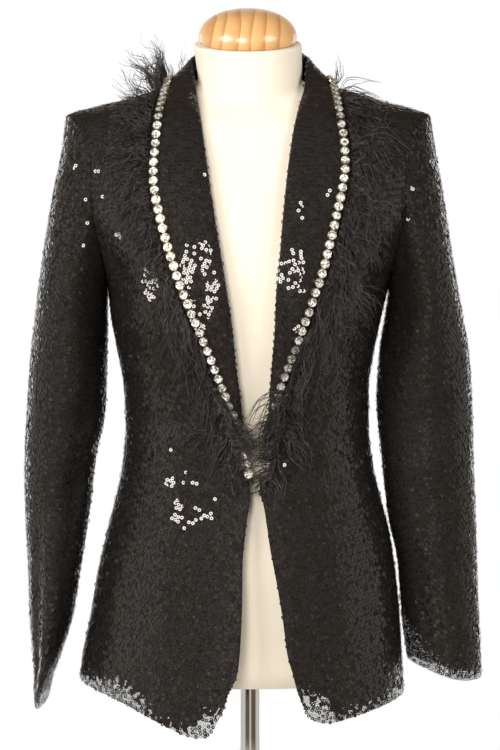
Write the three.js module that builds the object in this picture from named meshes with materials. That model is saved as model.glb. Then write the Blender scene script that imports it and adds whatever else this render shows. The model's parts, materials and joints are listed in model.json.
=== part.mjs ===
// A sequined shawl-collar blazer on a limbless dress form, in millimetres, +Z up, front towards -Y.
// The origin is the centre of the base plate's underside. "right" is the wearer's right side, at -X.
// Every cloth piece is a wall on one body surface, which comes from a table of horizontal sections.
import * as THREE from "three";

// ---- driving dimensions ----
const WALL = 2; // sequined net, with its sequins
const SEAM = 0.7; // clearance between two pieces that are sewn together
const RIGHT = -1;
const LEFT = 1;

const PIECE_GAP = 0.3; // between pieces that rest on one another
const FORM_BOTTOM = 230; // height of the form's flat underside
const NECK_TOP = 905; // height of the neck's top plane on its axis
const NECK_TILT = THREE.MathUtils.degToRad(15); // the neck's top slopes down to the front
const NECK_LEAN = -2.5; // the neck's top stands this far to the wearer's right of the pole
const POLE_RADIUS = 11.5;
const BASE_RADIUS = 150;
const BASE_EDGE = 6; // plate thickness at its rim
const BASE_HUB = 18; // height of the hub that holds the pole

const NECK_POINT = { x: 62, z: 868 }; // where shoulder seam and neckline meet
const ARMPIT_Z = 645;
const SHOULDER_TIP_Z = 828;
const ARMHOLE_HALF_DEPTH = 62; // from the shoulder seam to the armhole's front or back
const CLOSURE_Z = 438; // the one hook and eye

// ---- tables: named columns, one row for each section or point ----
function table(names, rows) {
  const keys = names.split(" ");
  return rows.map((row) => Object.fromEntries(row.map((value, i) => [keys[i], value])));
}

// Horizontal sections of the blazer's outer surface: half widths, depths, and how boxy each side of it is.
const BODY = table("z right left front back front_power back_power", [
  [170, 188, 168, 131, 138, 2.3, 2.3],
  [217, 184, 165, 129, 136, 2.3, 2.3],
  [250, 180, 163, 127, 133, 2.3, 2.3],
  [300, 170, 160, 123, 129, 2.3, 2.3],
  [347, 162, 155, 118, 123, 2.3, 2.3],
  [385, 153, 149, 113, 115, 2.3, 2.3],
  [420, 144, 140, 108, 106, 2.35, 2.35],
  [460, 136, 131, 104, 95, 2.4, 2.4],
  [500, 133, 127, 103, 90, 2.4, 2.4],
  [540, 135, 127, 106, 92, 2.4, 2.4],
  [580, 142, 133, 112, 98, 2.4, 2.4],
  [613, 148, 140, 116, 105, 2.4, 2.4],
  [645, 152, 148, 118, 111, 2.4, 2.4],
  [680, 168, 165, 116, 116, 2.5, 2.45],
  [720, 186, 183, 110, 119, 2.8, 2.45],
  [760, 193, 190, 100, 117, 3.1, 2.3],
  [800, 198, 194, 84, 108, 3.2, 2],
  [818, 199, 195, 75, 100, 2.9, 1.8],
  [828, 196, 192, 68, 93, 2.2, 1.65],
  [833, 183, 181, 64, 89, 1.8, 1.55],
  [838, 164, 164, 60, 84, 1.55, 1.5],
  [845, 135, 135, 53, 77, 1.4, 1.4],
  [852, 112, 112, 45, 69, 1.3, 1.3],
  [860, 88, 88, 34, 52, 1.25, 1.25],
  [868, 62, 62, 18, 22, 1.2, 1.2],
]);

// Front edges below the collar's end, and necklines above it: x at each height.
const EDGE = {
  [RIGHT]: table("z x", [
    [197, -36.5], [212, -28], [231, -22], [250, -13], [280, -9.8], [323, -8], [362, -7.5],
    [403, -3.5], [424, 0], [CLOSURE_Z, 5], [460, -1], [498, -6.5], [527, -9], [564, -14],
    [601, -17.5], [638, -23], [675, -29], [712, -35], [748, -40.5], [785, -46], [815, -50],
    [840, -54], [855, -57.5], [868, -NECK_POINT.x],
  ]),
  [LEFT]: table("z x", [
    [213, 57], [221, 53], [232, 48.7], [251, 43.5], [269, 38.5], [306, 33.5], [342, 27.5],
    [379, 20.5], [403, 17], [424, 13.5], [CLOSURE_Z, 9.5], [460, 13], [483, 17], [511, 18.5],
    [564, 22], [601, 25], [638, 26.5], [675, 30], [712, 33], [748, 36.5], [785, 41], [815, 46],
    [840, 52], [855, 57], [868, NECK_POINT.x],
  ]),
};

// Front hems, from the rounded corner to the side seam: height at each distance from the centre.
const HEM = {
  [RIGHT]: table("x z", [
    [36.5, 197], [42, 188.5], [49, 184.5], [60, 185], [80, 192], [107, 204], [144, 220], [186, 230],
  ]),
  [LEFT]: table("x z", [
    [57, 213], [61, 206], [67, 201], [78, 198], [98, 200], [122, 205.5], [146, 211], [167, 215],
  ]),
};
const BACK_HEM_Z = 207; // at the centre back

// Sleeve sections: outermost x, half width, half depth, how far forward the section's middle lies.
const SLEEVE = {
  [RIGHT]: table("z outer half_width half_depth forward", [
    [198, 229, 6, 64, 8],
    [218, 229.5, 7.5, 64, 8],
    [250, 231, 13.5, 63, 6],
    [289, 235, 22, 62, 4],
    [347, 237, 28, 61, 2],
    [405, 240, 34, 61, 0],
    [462, 241, 38, 61, -2],
    [520, 238, 42, 62, -3],
    [578, 234, 41, 63, -3],
    [616, 229, 38.6, 64, -2],
    [650, 225, 37, 64, -1],
    [690, 219, 38, 64, 0],
    [751, 210, 40, 63, 0],
    [790, 203, 40, 63, 0],
    [SHOULDER_TIP_Z, 200, 40, 63, 0],
  ]),
  [LEFT]: table("z outer half_width half_depth forward", [
    [216, 249, 39.5, 42, 0],
    [250, 248, 40, 43, -1],
    [289, 246, 41.5, 45, -2],
    [347, 243.5, 42.5, 47, -3],
    [405, 242, 47.5, 49, -4],
    [462, 239.5, 49.5, 51, -4],
    [520, 238, 51.5, 54, -4],
    [578, 234, 48, 58, -3],
    [616, 227, 41.5, 61, -2],
    [650, 221, 37, 63, -1],
    [690, 214, 38, 64, 0],
    [751, 206, 40, 63, 0],
    [790, 200, 40, 63, 0],
    [SHOULDER_TIP_Z, 196, 40, 63, 0],
  ]),
};
// Cuff edges: lowest height, and how much the outer and inner sides rise above it.
const CUFF = {
  [RIGHT]: { low: 204, outer_rise: 0, inner_rise: 3 },
  [LEFT]: { low: 223, outer_rise: 7, inner_rise: 26 },
};
// The largest folds of a sleeve: lengthwise troughs, by where they lie round the sleeve (0 outer, 90 front).
const SLEEVE_FOLDS = {
  [RIGHT]: table("around z reach width depth", [
    [128, 455, 110, 22, 5],
    [60, 330, 120, 20, 4],
    [250, 420, 130, 24, 5],
    [300, 300, 90, 20, 4],
  ]),
  [LEFT]: table("around z reach width depth", [
    [70, 390, 120, 22, 3.5],
    [118, 300, 100, 20, 4],
    [215, 430, 120, 24, 4],
    [285, 330, 110, 22, 4],
  ]),
};
// Soft flutes of the skirt below the waist: x, width, depth (positive stands out), where they start.
const SKIRT_FLUTES = {
  front: table("x width depth start", [
    [-150, 24, 4, 400], [-108, 26, -3, 380], [112, 24, -3, 360], [140, 20, 3, 380],
  ]),
  back: table("x width depth start", [
    [-110, 30, -4, 400], [-62, 26, 5, 420], [0, 30, -4, 440], [64, 26, 5, 420], [112, 30, -4, 400],
  ]),
};

// Bust of the general figure: where each mound stands, and its size.
const BUST = { x: 76, z: 642, height: 11, width: 52, length: 60 };

// The dress form inside: half width, front and back depth, boxiness. Its shoulders carry the cloth.
const FORM = table("z wide front back power", [
  [FORM_BOTTOM, 143, 96, 104, 2.3],
  [300, 144, 98, 108, 2.3],
  [347, 141, 99, 109, 2.3],
  [385, 135, 97, 104, 2.3],
  [420, 127, 93, 95, 2.35],
  [460, 118, 89, 85, 2.4],
  [500, 114, 88, 80, 2.4],
  [540, 116, 92, 82, 2.4],
  [580, 122, 99, 89, 2.4],
  [613, 128, 104, 96, 2.4],
  [645, 134, 107, 102, 2.4],
  [680, 142, 106, 108, 2.4],
  [720, 150, 101, 112, 2.5],
  [760, 155, 91, 111, 2.6],
  [800, 157, 77, 101, 2.6],
]);
const FORM_BUST_HEIGHT = 9;
const FORM_DROP = WALL + 2; // the form's shoulders lie this far under the blazer's outer surface
const FORM_ARM_HALF_WIDTH = 157; // where the form's shoulders end
const FORM_NECK = table("z wide front back", [
  [845, 56, 55.5, 57],
  [858, 55.6, 54.5, 56],
  [872, 56, 54, 55.5],
  [NECK_TOP + 18, 57.5, 55.5, 57],
]);

// The crystal chain's middle line on the chest, x at each height; the collar's edge lies just outside it.
const CHAIN_LINE = {
  [RIGHT]: table("z x", [
    [446, 1], [460, -3.5], [480, -8], [498, -12], [522, -20.5], [562, -35], [605, -52], [650, -71],
    [692, -86], [733, -96], [756, -99.5], [782, -98], [808, -96], [834, -93],
  ]),
  [LEFT]: table("z x", [
    [446, 11.5], [465, 16.5], [490, 21], [515, 24.3], [540, 29.5], [582, 45], [625, 60], [670, 76],
    [710, 86.5], [749, 95], [771, 98], [790, 97], [810, 95], [834, 90.5],
  ]),
};
const CHAIN_TO_EDGE = 5.2;
// Round the neck both halves are alike: seam in the neckline, top of the roll, outer edge.
const COLLAR_NECK = table("seam_x seam_y seam_z roll_x roll_y roll_z edge_x edge_y edge_z", [
  [57, -30, 856, 57.5, -33, 857, 93, -24, 853],
  [58.4, -6, 865.4, 59.4, -10, 878, 89, -3, 862],
  [58.8, 12, 864, 61.2, 14, 889, 85, 22, 860],
  [54.8, 32.5, 858, 58, 37, 896, 79, 50, 851],
  [36.5, 50.5, 853, 41, 56, 900, 62, 78, 841],
  [19, 59.6, 851, 20.5, 65, 902, 32, 90, 836],
  [0.4, 62.8, 850, 0.4, 68, 902, 0.4, 93, 834],
]);
// The folded edge of the collar on the chest: how far in from the fold, and the height over the front.
const FOLD = table("share in lift", [
  [0, 0.9, -2],
  [0.1, 0.1, -0.7],
  [0.2, 0.5, 0.9],
  [0.3, 2.6, 2.4],
]);
const COLLAR_CHEST_STATIONS = 20;
const COLLAR_CHEST_LAST = 0.97; // share of the chest's outer edge used before the neck stations begin

// Crystal cup chain along the collar's edge.
const STONE = { radius: 4.4, height: 5.2, pitch: 10.5, link_width: 1.6, link_height: 1.9 };

// Feather trim outside the chain: how far it reaches over the cloth and stands up from it.
const FEATHER = table("share reach height", [
  [0, 10, 6],
  [0.1, 22, 9],
  [0.2, 34, 12],
  [0.32, 44, 14],
  [0.5, 48, 16],
  [0.66, 46, 17],
  [0.78, 42, 18],
  [0.88, 36, 16],
  [1, 32, 14],
]);

// ---- small maths ----
const { lerp, smoothstep, degToRad } = THREE.MathUtils;
const vec = (x, y, z) => new THREE.Vector3(x, y, z);
const bell = (distance, width) => Math.exp(-((distance / width) ** 2));

// A column of a table at a place between its rows, on a smooth curve that never overshoots a row.
function column(rows, name, at, key = "z") {
  const up = rows[rows.length - 1][key] > rows[0][key] ? 1 : -1;
  const last = rows.length - 2;
  let i = 0;
  while (i < last && (at - rows[i + 1][key]) * up > 0) i += 1;
  const slope = (k) => (rows[k + 1][name] - rows[k][name]) / (rows[k + 1][key] - rows[k][key]);
  const tangent = (k) => {
    if (k === 0) return slope(0);
    if (k === rows.length - 1) return slope(k - 1);
    const [a, b] = [slope(k - 1), slope(k)];
    return a * b <= 0 ? 0 : (2 * a * b) / (a + b);
  };
  const [low, high] = [rows[i], rows[i + 1]];
  const step = high[key] - low[key];
  const t = Math.min(1, Math.max(0, (at - low[key]) / step));
  const [t2, t3] = [t * t, t * t * t];
  return (
    low[name] * (2 * t3 - 3 * t2 + 1) +
    tangent(i) * step * (t3 - 2 * t2 + t) +
    high[name] * (3 * t2 - 2 * t3) +
    tangent(i + 1) * step * (t3 - t2)
  );
}

// ---- the blazer's body surface ----
const halfWidth = (side, z) => column(BODY, side === RIGHT ? "right" : "left", z);
const depth = (front, z) => column(BODY, front ? "front" : "back", z);
const power = (front, z) => column(BODY, front ? "front_power" : "back_power", z);

function bust(x, z, height) {
  return height * bell(Math.abs(x) - BUST.x, BUST.width) * bell(z - BUST.z, BUST.length);
}

function flutes(rows, x, z) {
  return rows.reduce(
    (sum, fold) => sum + fold.depth * bell(x - fold.x, fold.width) * smoothstep(fold.start - z, 0, 190),
    0,
  );
}

// How far the surface stands out to the front or the back at a place, over the plain section.
function standOut(front, x, z) {
  return front ? bust(x, z, BUST.height) + flutes(SKIRT_FLUTES.front, x, z) : flutes(SKIRT_FLUTES.back, x, z);
}

// angle 0 is the side, 90 degrees the centre front or the centre back.
function bodyPoint(side, front, angle, z) {
  const x = side * halfWidth(side, z) * Math.max(0, Math.cos(angle)) ** (2 / power(front, z));
  const lean = Math.sin(angle);
  const out = lean * (depth(front, z) + standOut(front, x, z));
  return vec(x, front ? -out : out, z);
}

// The angle at which the front of the section at height z has a given x.
function angleAt(side, x, z) {
  const share = Math.min(1, Math.max(0, (side * x) / halfWidth(side, z)));
  return Math.acos(Math.min(1, share ** (power(true, z) / 2)));
}

// Zero on the body surface, positive outside it.
function bodyField(p) {
  const side = p.x < 0 ? RIGHT : LEFT;
  const front = p.y < 0;
  const z = Math.min(p.z, NECK_POINT.z);
  const share = Math.abs(p.x) / halfWidth(side, z);
  const deep = Math.abs(p.y) / (depth(front, z) + standOut(front, p.x, z));
  return share ** power(front, z) + deep * deep - 1;
}

function bodyNormal(p) {
  const h = 0.4;
  const along = (axis) => {
    const [a, b] = [p.clone(), p.clone()];
    a[axis] += h;
    b[axis] -= h;
    return bodyField(a) - bodyField(b);
  };
  return vec(along("x"), along("y"), along("z")).normalize();
}

// The point of the body surface nearest to p, moved out by lift.
function onBody(p, lift = 0) {
  const q = p.clone();
  for (let i = 0; i < 12; i += 1) {
    const normal = bodyNormal(q);
    const h = 0.5;
    const slope = (bodyField(q.clone().addScaledVector(normal, h)) - bodyField(q)) / h;
    const step = -bodyField(q) / Math.max(slope, 1e-4);
    q.addScaledVector(normal, Math.max(-8, Math.min(8, step)));
  }
  return q.addScaledVector(bodyNormal(q), lift);
}

// Directions from the body's axis: a turn from the side (0) over the front or back, and a level that is
// a height up to the chest, and above it a slope from the chest's centre, so that shoulders are reached too.
const CHEST_CENTRE_Z = 700;
const SLOPE_RADIUS = 190;

function directionOf(p, side) {
  const reach = Math.hypot(p.x, p.y);
  const level =
    p.z <= CHEST_CENTRE_Z ? p.z : CHEST_CENTRE_Z + SLOPE_RADIUS * Math.atan2(p.z - CHEST_CENTRE_Z, reach);
  return [Math.atan2(Math.abs(p.y), side * p.x), level];
}

// The point of the body surface in a direction.
function inDirection(side, front, [turn, level]) {
  const rise = Math.max(0, level - CHEST_CENTRE_Z) / SLOPE_RADIUS;
  const from = vec(0, 0, Math.min(level, CHEST_CENTRE_Z));
  const way = vec(side * Math.cos(turn), (front ? -1 : 1) * Math.sin(turn), Math.tan(rise)).normalize();
  let [near, far] = [40, 320];
  for (let i = 0; i < 36; i += 1) {
    const middle = (near + far) / 2;
    if (bodyField(from.clone().addScaledVector(way, middle)) > 0) far = middle;
    else near = middle;
  }
  return from.addScaledVector(way, near);
}

// ---- armholes, shared by the body panels and the sleeves ----
// around runs from 0 at the shoulder tip over the front (90 degrees) to the armpit (180) and the back.
// Its corners in degrees, from shoulder tip to armpit; panels and sleeves share them, so seams run parallel.
const ARMHOLE_TURNS = [0, 7, 15, 25, 37, 51, 67, 85, 104, 124, 143, 162, 180];

function armholePlace(around) {
  const [c, s] = [Math.cos(around), Math.abs(Math.sin(around))];
  const rise = c > 0 ? c ** 0.6 : c;
  const z = (SHOULDER_TIP_Z + ARMPIT_Z) / 2 + ((SHOULDER_TIP_Z - ARMPIT_Z) / 2) * rise;
  return { front: Math.sin(around) >= 0, out: ARMHOLE_HALF_DEPTH * s, z };
}

function armholeAngle(around) {
  const { front, out, z } = armholePlace(around);
  return Math.asin(Math.min(0.95, out / depth(front, z)));
}

function armhole(side, around) {
  const { front, z } = armholePlace(around);
  return bodyPoint(side, front, armholeAngle(around), z);
}

// The way across the seam, from the panel to the sleeve.
function seamWay(side, around) {
  return vec(side, 0, -1.2 * Math.max(0, Math.cos(around))).normalize();
}

// The way out of a sleeve's tube. A wall laid off along it stays whole where the tube is pressed flat.
const tubeWay = (side, around) => vec(side * Math.cos(around), -Math.sin(around), 0);

// Both walls at an armhole lean to the mitre between them; at the armpit they lie back to back.
function armholeNormal(side, around, ofSleeve) {
  const panel = bodyNormal(armhole(side, around));
  const tube = tubeWay(side, around);
  const share = smoothstep((1 + Math.cos(around)) / 2, 0, 0.5);
  const [own, other] = ofSleeve ? [tube, panel] : [panel, tube];
  return own.clone().addScaledVector(other, share).normalize();
}

// ---- cloth walls ----
// A closed wall from a grid of outer points and the directions in which it is thin.
function wall(points, normals, options = {}) {
  const { thickness = WALL, ring = false } = options;
  const rows = points.length;
  const cols = points[0].length;
  const outer = points.flat();
  const inner = outer.map((p, i) => p.clone().addScaledVector(normals.flat()[i], -thickness));
  const flat = [...outer, ...inner].flatMap((p) => [p.x, p.y, p.z]);
  const index = [];
  const at = (i, j, layer) => layer * rows * cols + i * cols + (j % cols);
  const quad = (a, b, c, d) => index.push(a, b, c, a, c, d);
  const lastCol = ring ? cols : cols - 1;
  for (let i = 0; i < rows - 1; i += 1) {
    for (let j = 0; j < lastCol; j += 1) {
      quad(at(i, j, 0), at(i, j + 1, 0), at(i + 1, j + 1, 0), at(i + 1, j, 0));
      quad(at(i, j, 1), at(i + 1, j, 1), at(i + 1, j + 1, 1), at(i, j + 1, 1));
    }
  }
  for (let j = 0; j < lastCol; j += 1) {
    quad(at(0, j + 1, 0), at(0, j, 0), at(0, j, 1), at(0, j + 1, 1));
    quad(at(rows - 1, j, 0), at(rows - 1, j + 1, 0), at(rows - 1, j + 1, 1), at(rows - 1, j, 1));
  }
  if (!ring) {
    for (let i = 0; i < rows - 1; i += 1) {
      quad(at(i, 0, 0), at(i + 1, 0, 0), at(i + 1, 0, 1), at(i, 0, 1));
      quad(at(i + 1, cols - 1, 0), at(i, cols - 1, 0), at(i, cols - 1, 1), at(i + 1, cols - 1, 1));
    }
  }
  return facingOut(flat, index);
}

// A geometry with its faces turned outwards, whichever way its grid ran.
function facingOut(flat, index) {
  const point = (i) => vec(flat[3 * i], flat[3 * i + 1], flat[3 * i + 2]);
  let volume = 0;
  for (let i = 0; i < index.length; i += 3) {
    volume += point(index[i]).dot(point(index[i + 1]).cross(point(index[i + 2])));
  }
  if (volume < 0) {
    for (let i = 0; i < index.length; i += 3) {
      [index[i + 1], index[i + 2]] = [index[i + 2], index[i + 1]];
    }
  }
  const geometry = new THREE.BufferGeometry();
  geometry.setAttribute("position", new THREE.BufferAttribute(new Float32Array(flat), 3));
  geometry.setIndex(index);
  return geometry;
}

// A closed skin over rings of points, with its two ends filled.
function skin(rings) {
  const cols = rings[0].length;
  const centres = [rings[0], rings[rings.length - 1]].map((ring) =>
    ring.reduce((sum, p) => sum.add(p), vec(0, 0, 0)).divideScalar(cols),
  );
  const flat = [...rings.flat(), ...centres].flatMap((p) => [p.x, p.y, p.z]);
  const index = [];
  const [first, last] = [rings.length * cols, rings.length * cols + 1];
  for (let j = 0; j < cols; j += 1) {
    const next = (j + 1) % cols;
    for (let i = 0; i < rings.length - 1; i += 1) {
      const [a, b] = [i * cols, (i + 1) * cols];
      index.push(a + j, a + next, b + next, a + j, b + next, b + j);
    }
    const end = (rings.length - 1) * cols;
    index.push(first, next, j, last, end + j, end + next);
  }
  return facingOut(flat, index);
}

// A patch between four border curves, each a function from 0..1 to a direction.
function patch(bottom, top, start, end) {
  const corner = [bottom(0), bottom(1), top(0), top(1)];
  return (u, v) =>
    [0, 1].map(
      (k) =>
        (1 - v) * bottom(u)[k] + v * top(u)[k] + (1 - u) * start(v)[k] + u * end(v)[k] -
        (1 - u) * (1 - v) * corner[0][k] - u * (1 - v) * corner[1][k] -
        (1 - u) * v * corner[2][k] - u * v * corner[3][k],
    );
}

const steps = (count) => Array.from({ length: count + 1 }, (_, i) => i / count);

// Angle that leaves half a seam's clearance at the side and along the shoulder.
const seamAngle = (front, z) => Math.asin(SEAM / 2 / depth(front, z));

// A side border runs up the side seam to this share of its height, then round the armhole.
const ARMPIT_SHARE = 0.62;

// The place round the armhole at a share of the border, negative at the back, or null off the armhole.
function aroundAt(front, v) {
  if (v < ARMPIT_SHARE - 1e-9) return null;
  return (front ? 1 : -1) * Math.PI * (1 - (v - ARMPIT_SHARE) / (1 - ARMPIT_SHARE));
}

// Rows of a panel: given shares up to the armpit, then the armhole's own corners.
function panelRows(below) {
  const round = [...ARMHOLE_TURNS].reverse().map((turn) => lerp(1, ARMPIT_SHARE, turn / 180));
  return [...below, ...round];
}

function sideBorder(side, front, hemZ) {
  return (v) => {
    const around = aroundAt(front, v);
    if (around !== null) {
      const { z } = armholePlace(around);
      return bodyPoint(side, front, Math.max(seamAngle(front, z), armholeAngle(around)), z);
    }
    const z = lerp(hemZ, ARMPIT_Z, v / ARMPIT_SHARE);
    return bodyPoint(side, front, seamAngle(front, z), z);
  };
}

function shoulderSeam(side, front, fromNeck) {
  const z = lerp(NECK_POINT.z, SHOULDER_TIP_Z, fromNeck);
  return bodyPoint(side, front, seamAngle(front, z), z);
}

// Builds a body panel's wall from strips side by side, each with its border curves and columns. Turns
// are counted from one side; ends names the side of an armhole at the first and the last column.
function bodyPanel(side, front, strips, rows, ends) {
  const points = [];
  const normals = [];
  const places = strips.flatMap(({ borders, columns }, k) => {
    const place = patch(...borders.map((border) => (t) => directionOf(border(t), side)));
    return columns.slice(k > 0 ? 1 : 0).map((u) => (v) => place(u, v));
  });
  for (const v of rows) {
    const rowPoints = [];
    const rowNormals = [];
    places.forEach((place, j) => {
      const p = inDirection(side, front, place(v));
      let normal = bodyNormal(p);
      const end = j === 0 ? ends[0] : j === places.length - 1 ? ends[1] : 0;
      const around = aroundAt(front, v);
      if (end && around !== null) {
        normal = armholeNormal(end, around, false);
        p.addScaledVector(seamWay(end, around), -SEAM / 2);
      }
      rowPoints.push(p);
      rowNormals.push(normal);
    });
    points.push(rowPoints);
    normals.push(rowNormals);
  }
  return wall(points, normals);
}

// ---- pieces of the blazer ----
const FRONT_ROWS = panelRows([0, 0.05, 0.11, 0.17, 0.23, 0.3, 0.36, 0.385, 0.43, 0.48, 0.53, 0.58]);
const FRONT_COLUMNS = [0, 0.035, 0.08, 0.15, 0.26, 0.38, 0.5, 0.62, 0.74, 0.86, 1];
// Share of the front edge that lies below the closure, and heights along it.
const EDGE_HEIGHTS = {
  [RIGHT]: table("share z", [
    [0, 197], [0.3, 400], [0.36, CLOSURE_Z], [0.385, 454], [0.62, 625], [1, NECK_POINT.z],
  ]),
  [LEFT]: table("share z", [
    [0, 213], [0.3, 400], [0.36, CLOSURE_Z], [0.385, 454], [0.62, 625], [1, NECK_POINT.z],
  ]),
};
const ROLL_ALLOWANCE = 4.9; // the front stops this far short of the collar's roll, which covers its edge

function front(side) {
  const hem = HEM[side];
  const corner = hem[0];
  const cornerAngle = angleAt(side, side * corner.x, corner.z);
  const bottom = (u) => {
    const angle = lerp(cornerAngle, seamAngle(true, corner.z), u);
    const x = Math.abs(bodyPoint(side, true, angle, corner.z).x);
    const z = column(hem, "z", x, "x");
    return bodyPoint(side, true, Math.max(seamAngle(true, z), angleAt(side, side * x, z)), z);
  };
  const start = (v) => {
    const z = column(EDGE_HEIGHTS[side], "z", v, "share");
    const under = smoothstep(z, CLOSURE_Z, CLOSURE_Z + 16) * (1 - smoothstep(z, 835, NECK_POINT.z));
    const x = column(EDGE[side], "x", z) + side * ROLL_ALLOWANCE * under;
    return bodyPoint(side, true, Math.max(seamAngle(true, z), angleAt(side, x, z)), z);
  };
  const top = (u) => shoulderSeam(side, true, u);
  const end = sideBorder(side, true, bottom(1).z);
  const strip = { borders: [bottom, top, start, end], columns: FRONT_COLUMNS };
  return bodyPanel(side, true, [strip], FRONT_ROWS, [0, side]);
}

const BACK_ROWS = panelRows([0, 0.09, 0.18, 0.27, 0.35, 0.42, 0.49, 0.56]);
const BACK_SIDE_COLUMNS = [0, 0.07, 0.2, 0.36, 0.52, 0.68, 0.84, 1];
const BACK_NECK_Z = 851;
// A line down the back from each neck point divides the panel's rows into three strips.
const BACK_LINE = table("share degrees z", [
  [0, 69, 210],
  [ARMPIT_SHARE, 67.4, 640],
  [0.72, 69, 700],
  [0.82, 70, 757],
  [0.89, 67, 806],
  [0.92, 63, 826],
  [0.948, 58, 842],
  [0.968, 50, 851],
  [0.985, 38, 860],
  [1, 1, NECK_POINT.z],
]);

function back() {
  const sideHem = (side) => column(HEM[side], "z", side === RIGHT ? 186 : 167, "x");
  const hem = (side, degrees) => {
    const z = lerp(BACK_HEM_Z, sideHem(side), (1 - degrees / 90) ** 2);
    return bodyPoint(side, false, Math.max(seamAngle(false, z), degToRad(degrees)), z);
  };
  const line = (side) => (v) => {
    const degrees = column(BACK_LINE, "degrees", v, "share");
    const foot = v === 0 ? hem(side, degrees).z - BACK_LINE[0].z : 0;
    const z = column(BACK_LINE, "z", v, "share") + foot;
    return bodyPoint(side, false, Math.max(seamAngle(false, z), degToRad(degrees)), z);
  };
  const neckline = (u) => {
    const degrees = 180 * Math.min(u, 1 - u);
    const z = lerp(NECK_POINT.z, BACK_NECK_Z, Math.sin(degToRad(degrees)));
    return bodyPoint(u < 0.5 ? RIGHT : LEFT, false, Math.max(seamAngle(false, z), degToRad(degrees)), z);
  };
  const foot = BACK_LINE[0].degrees;
  const strips = [
    {
      borders: [
        (u) => hem(RIGHT, u * foot),
        (u) => shoulderSeam(RIGHT, false, 1 - u),
        sideBorder(RIGHT, false, sideHem(RIGHT)),
        line(RIGHT),
      ],
      columns: BACK_SIDE_COLUMNS,
    },
    {
      borders: [
        (u) => (u < 0.5 ? hem(RIGHT, lerp(foot, 90, 2 * u)) : hem(LEFT, lerp(90, foot, 2 * u - 1))),
        neckline,
        line(RIGHT),
        line(LEFT),
      ],
      columns: steps(8),
    },
    {
      borders: [
        (u) => hem(LEFT, (1 - u) * foot),
        (u) => shoulderSeam(LEFT, false, u),
        line(LEFT),
        sideBorder(LEFT, false, sideHem(LEFT)),
      ],
      columns: BACK_SIDE_COLUMNS.map((u) => 1 - u).reverse(),
    },
  ];
  return bodyPanel(RIGHT, false, strips, BACK_ROWS, [RIGHT, LEFT]);
}

const SLEEVE_ROWS = 18;
const SLEEVE_HEAD = 0.25; // share of the sleeve over which it leaves the armhole's shape
const SLEEVE_TURNS = [...ARMHOLE_TURNS, ...ARMHOLE_TURNS.slice(1, -1).reverse().map((turn) => 360 - turn)];

function cuffHeight(side, around) {
  const cuff = CUFF[side];
  const outward = (1 + Math.cos(around)) / 2;
  return cuff.low + cuff.outer_rise * outward ** 3 + cuff.inner_rise * (1 - outward) ** 1.5;
}

// A sleeve's tube at a height, with its folds; around runs as at the armhole.
function sleevePoint(side, around, z) {
  const rows = SLEEVE[side];
  const [a, b] = [column(rows, "half_width", z), column(rows, "half_depth", z)];
  const middle = column(rows, "outer", z) - a;
  const degrees = (around * 180) / Math.PI;
  const trough = SLEEVE_FOLDS[side].reduce(
    (sum, fold) => sum + fold.depth * bell(degrees - fold.around, fold.width) * bell(z - fold.z, fold.reach),
    0,
  );
  const shrink = 1 - trough / Math.max(a, 14);
  const y = -column(rows, "forward", z) - b * Math.sin(around) * shrink;
  return vec(side * (middle + a * Math.cos(around) * shrink), y, z);
}

function sleeve(side) {
  const points = [];
  const normals = [];
  const place = (around, s) => {
    const top = armhole(side, around).addScaledVector(seamWay(side, around), SEAM / 2);
    const p = sleevePoint(side, around, lerp(top.z, cuffHeight(side, around), s));
    const shift = top.clone().sub(sleevePoint(side, around, top.z));
    return p.addScaledVector(shift, (1 - Math.min(1, s / SLEEVE_HEAD)) ** 2);
  };
  for (const share of steps(SLEEVE_ROWS)) {
    const s = share ** 1.25;
    const rowPoints = [];
    const rowNormals = [];
    for (const turn of SLEEVE_TURNS) {
      const around = degToRad(turn);
      rowPoints.push(place(around, s));
      rowNormals.push(share === 0 ? armholeNormal(side, around, true) : tubeWay(side, around));
    }
    points.push(rowPoints);
    normals.push(rowNormals);
  }
  return wall(points, normals, { ring: true });
}

// ---- collar ----
// The stations of one collar half, from its end at the front to the centre back: each is a row of
// points from the hidden inner end over the fold or roll to the outer edge.
const COLLAR_SHARES = [0, 0.1, 0.2, 0.3, 0.44, 0.62, 0.82, 1];
const EDGE_LIFT = 3.1;
const COLLAR_WALL = 1.6;

// The fall of the collar between the fold and its edge, slightly rounded; t runs from 0 to 1.
function fall(from, edge, t) {
  const crown = Math.min(4, 0.07 * from.distanceTo(edge));
  return from.clone().lerp(edge, t).addScaledVector(bodyNormal(edge), crown * Math.sin(Math.PI * t ** 0.8));
}

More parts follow.
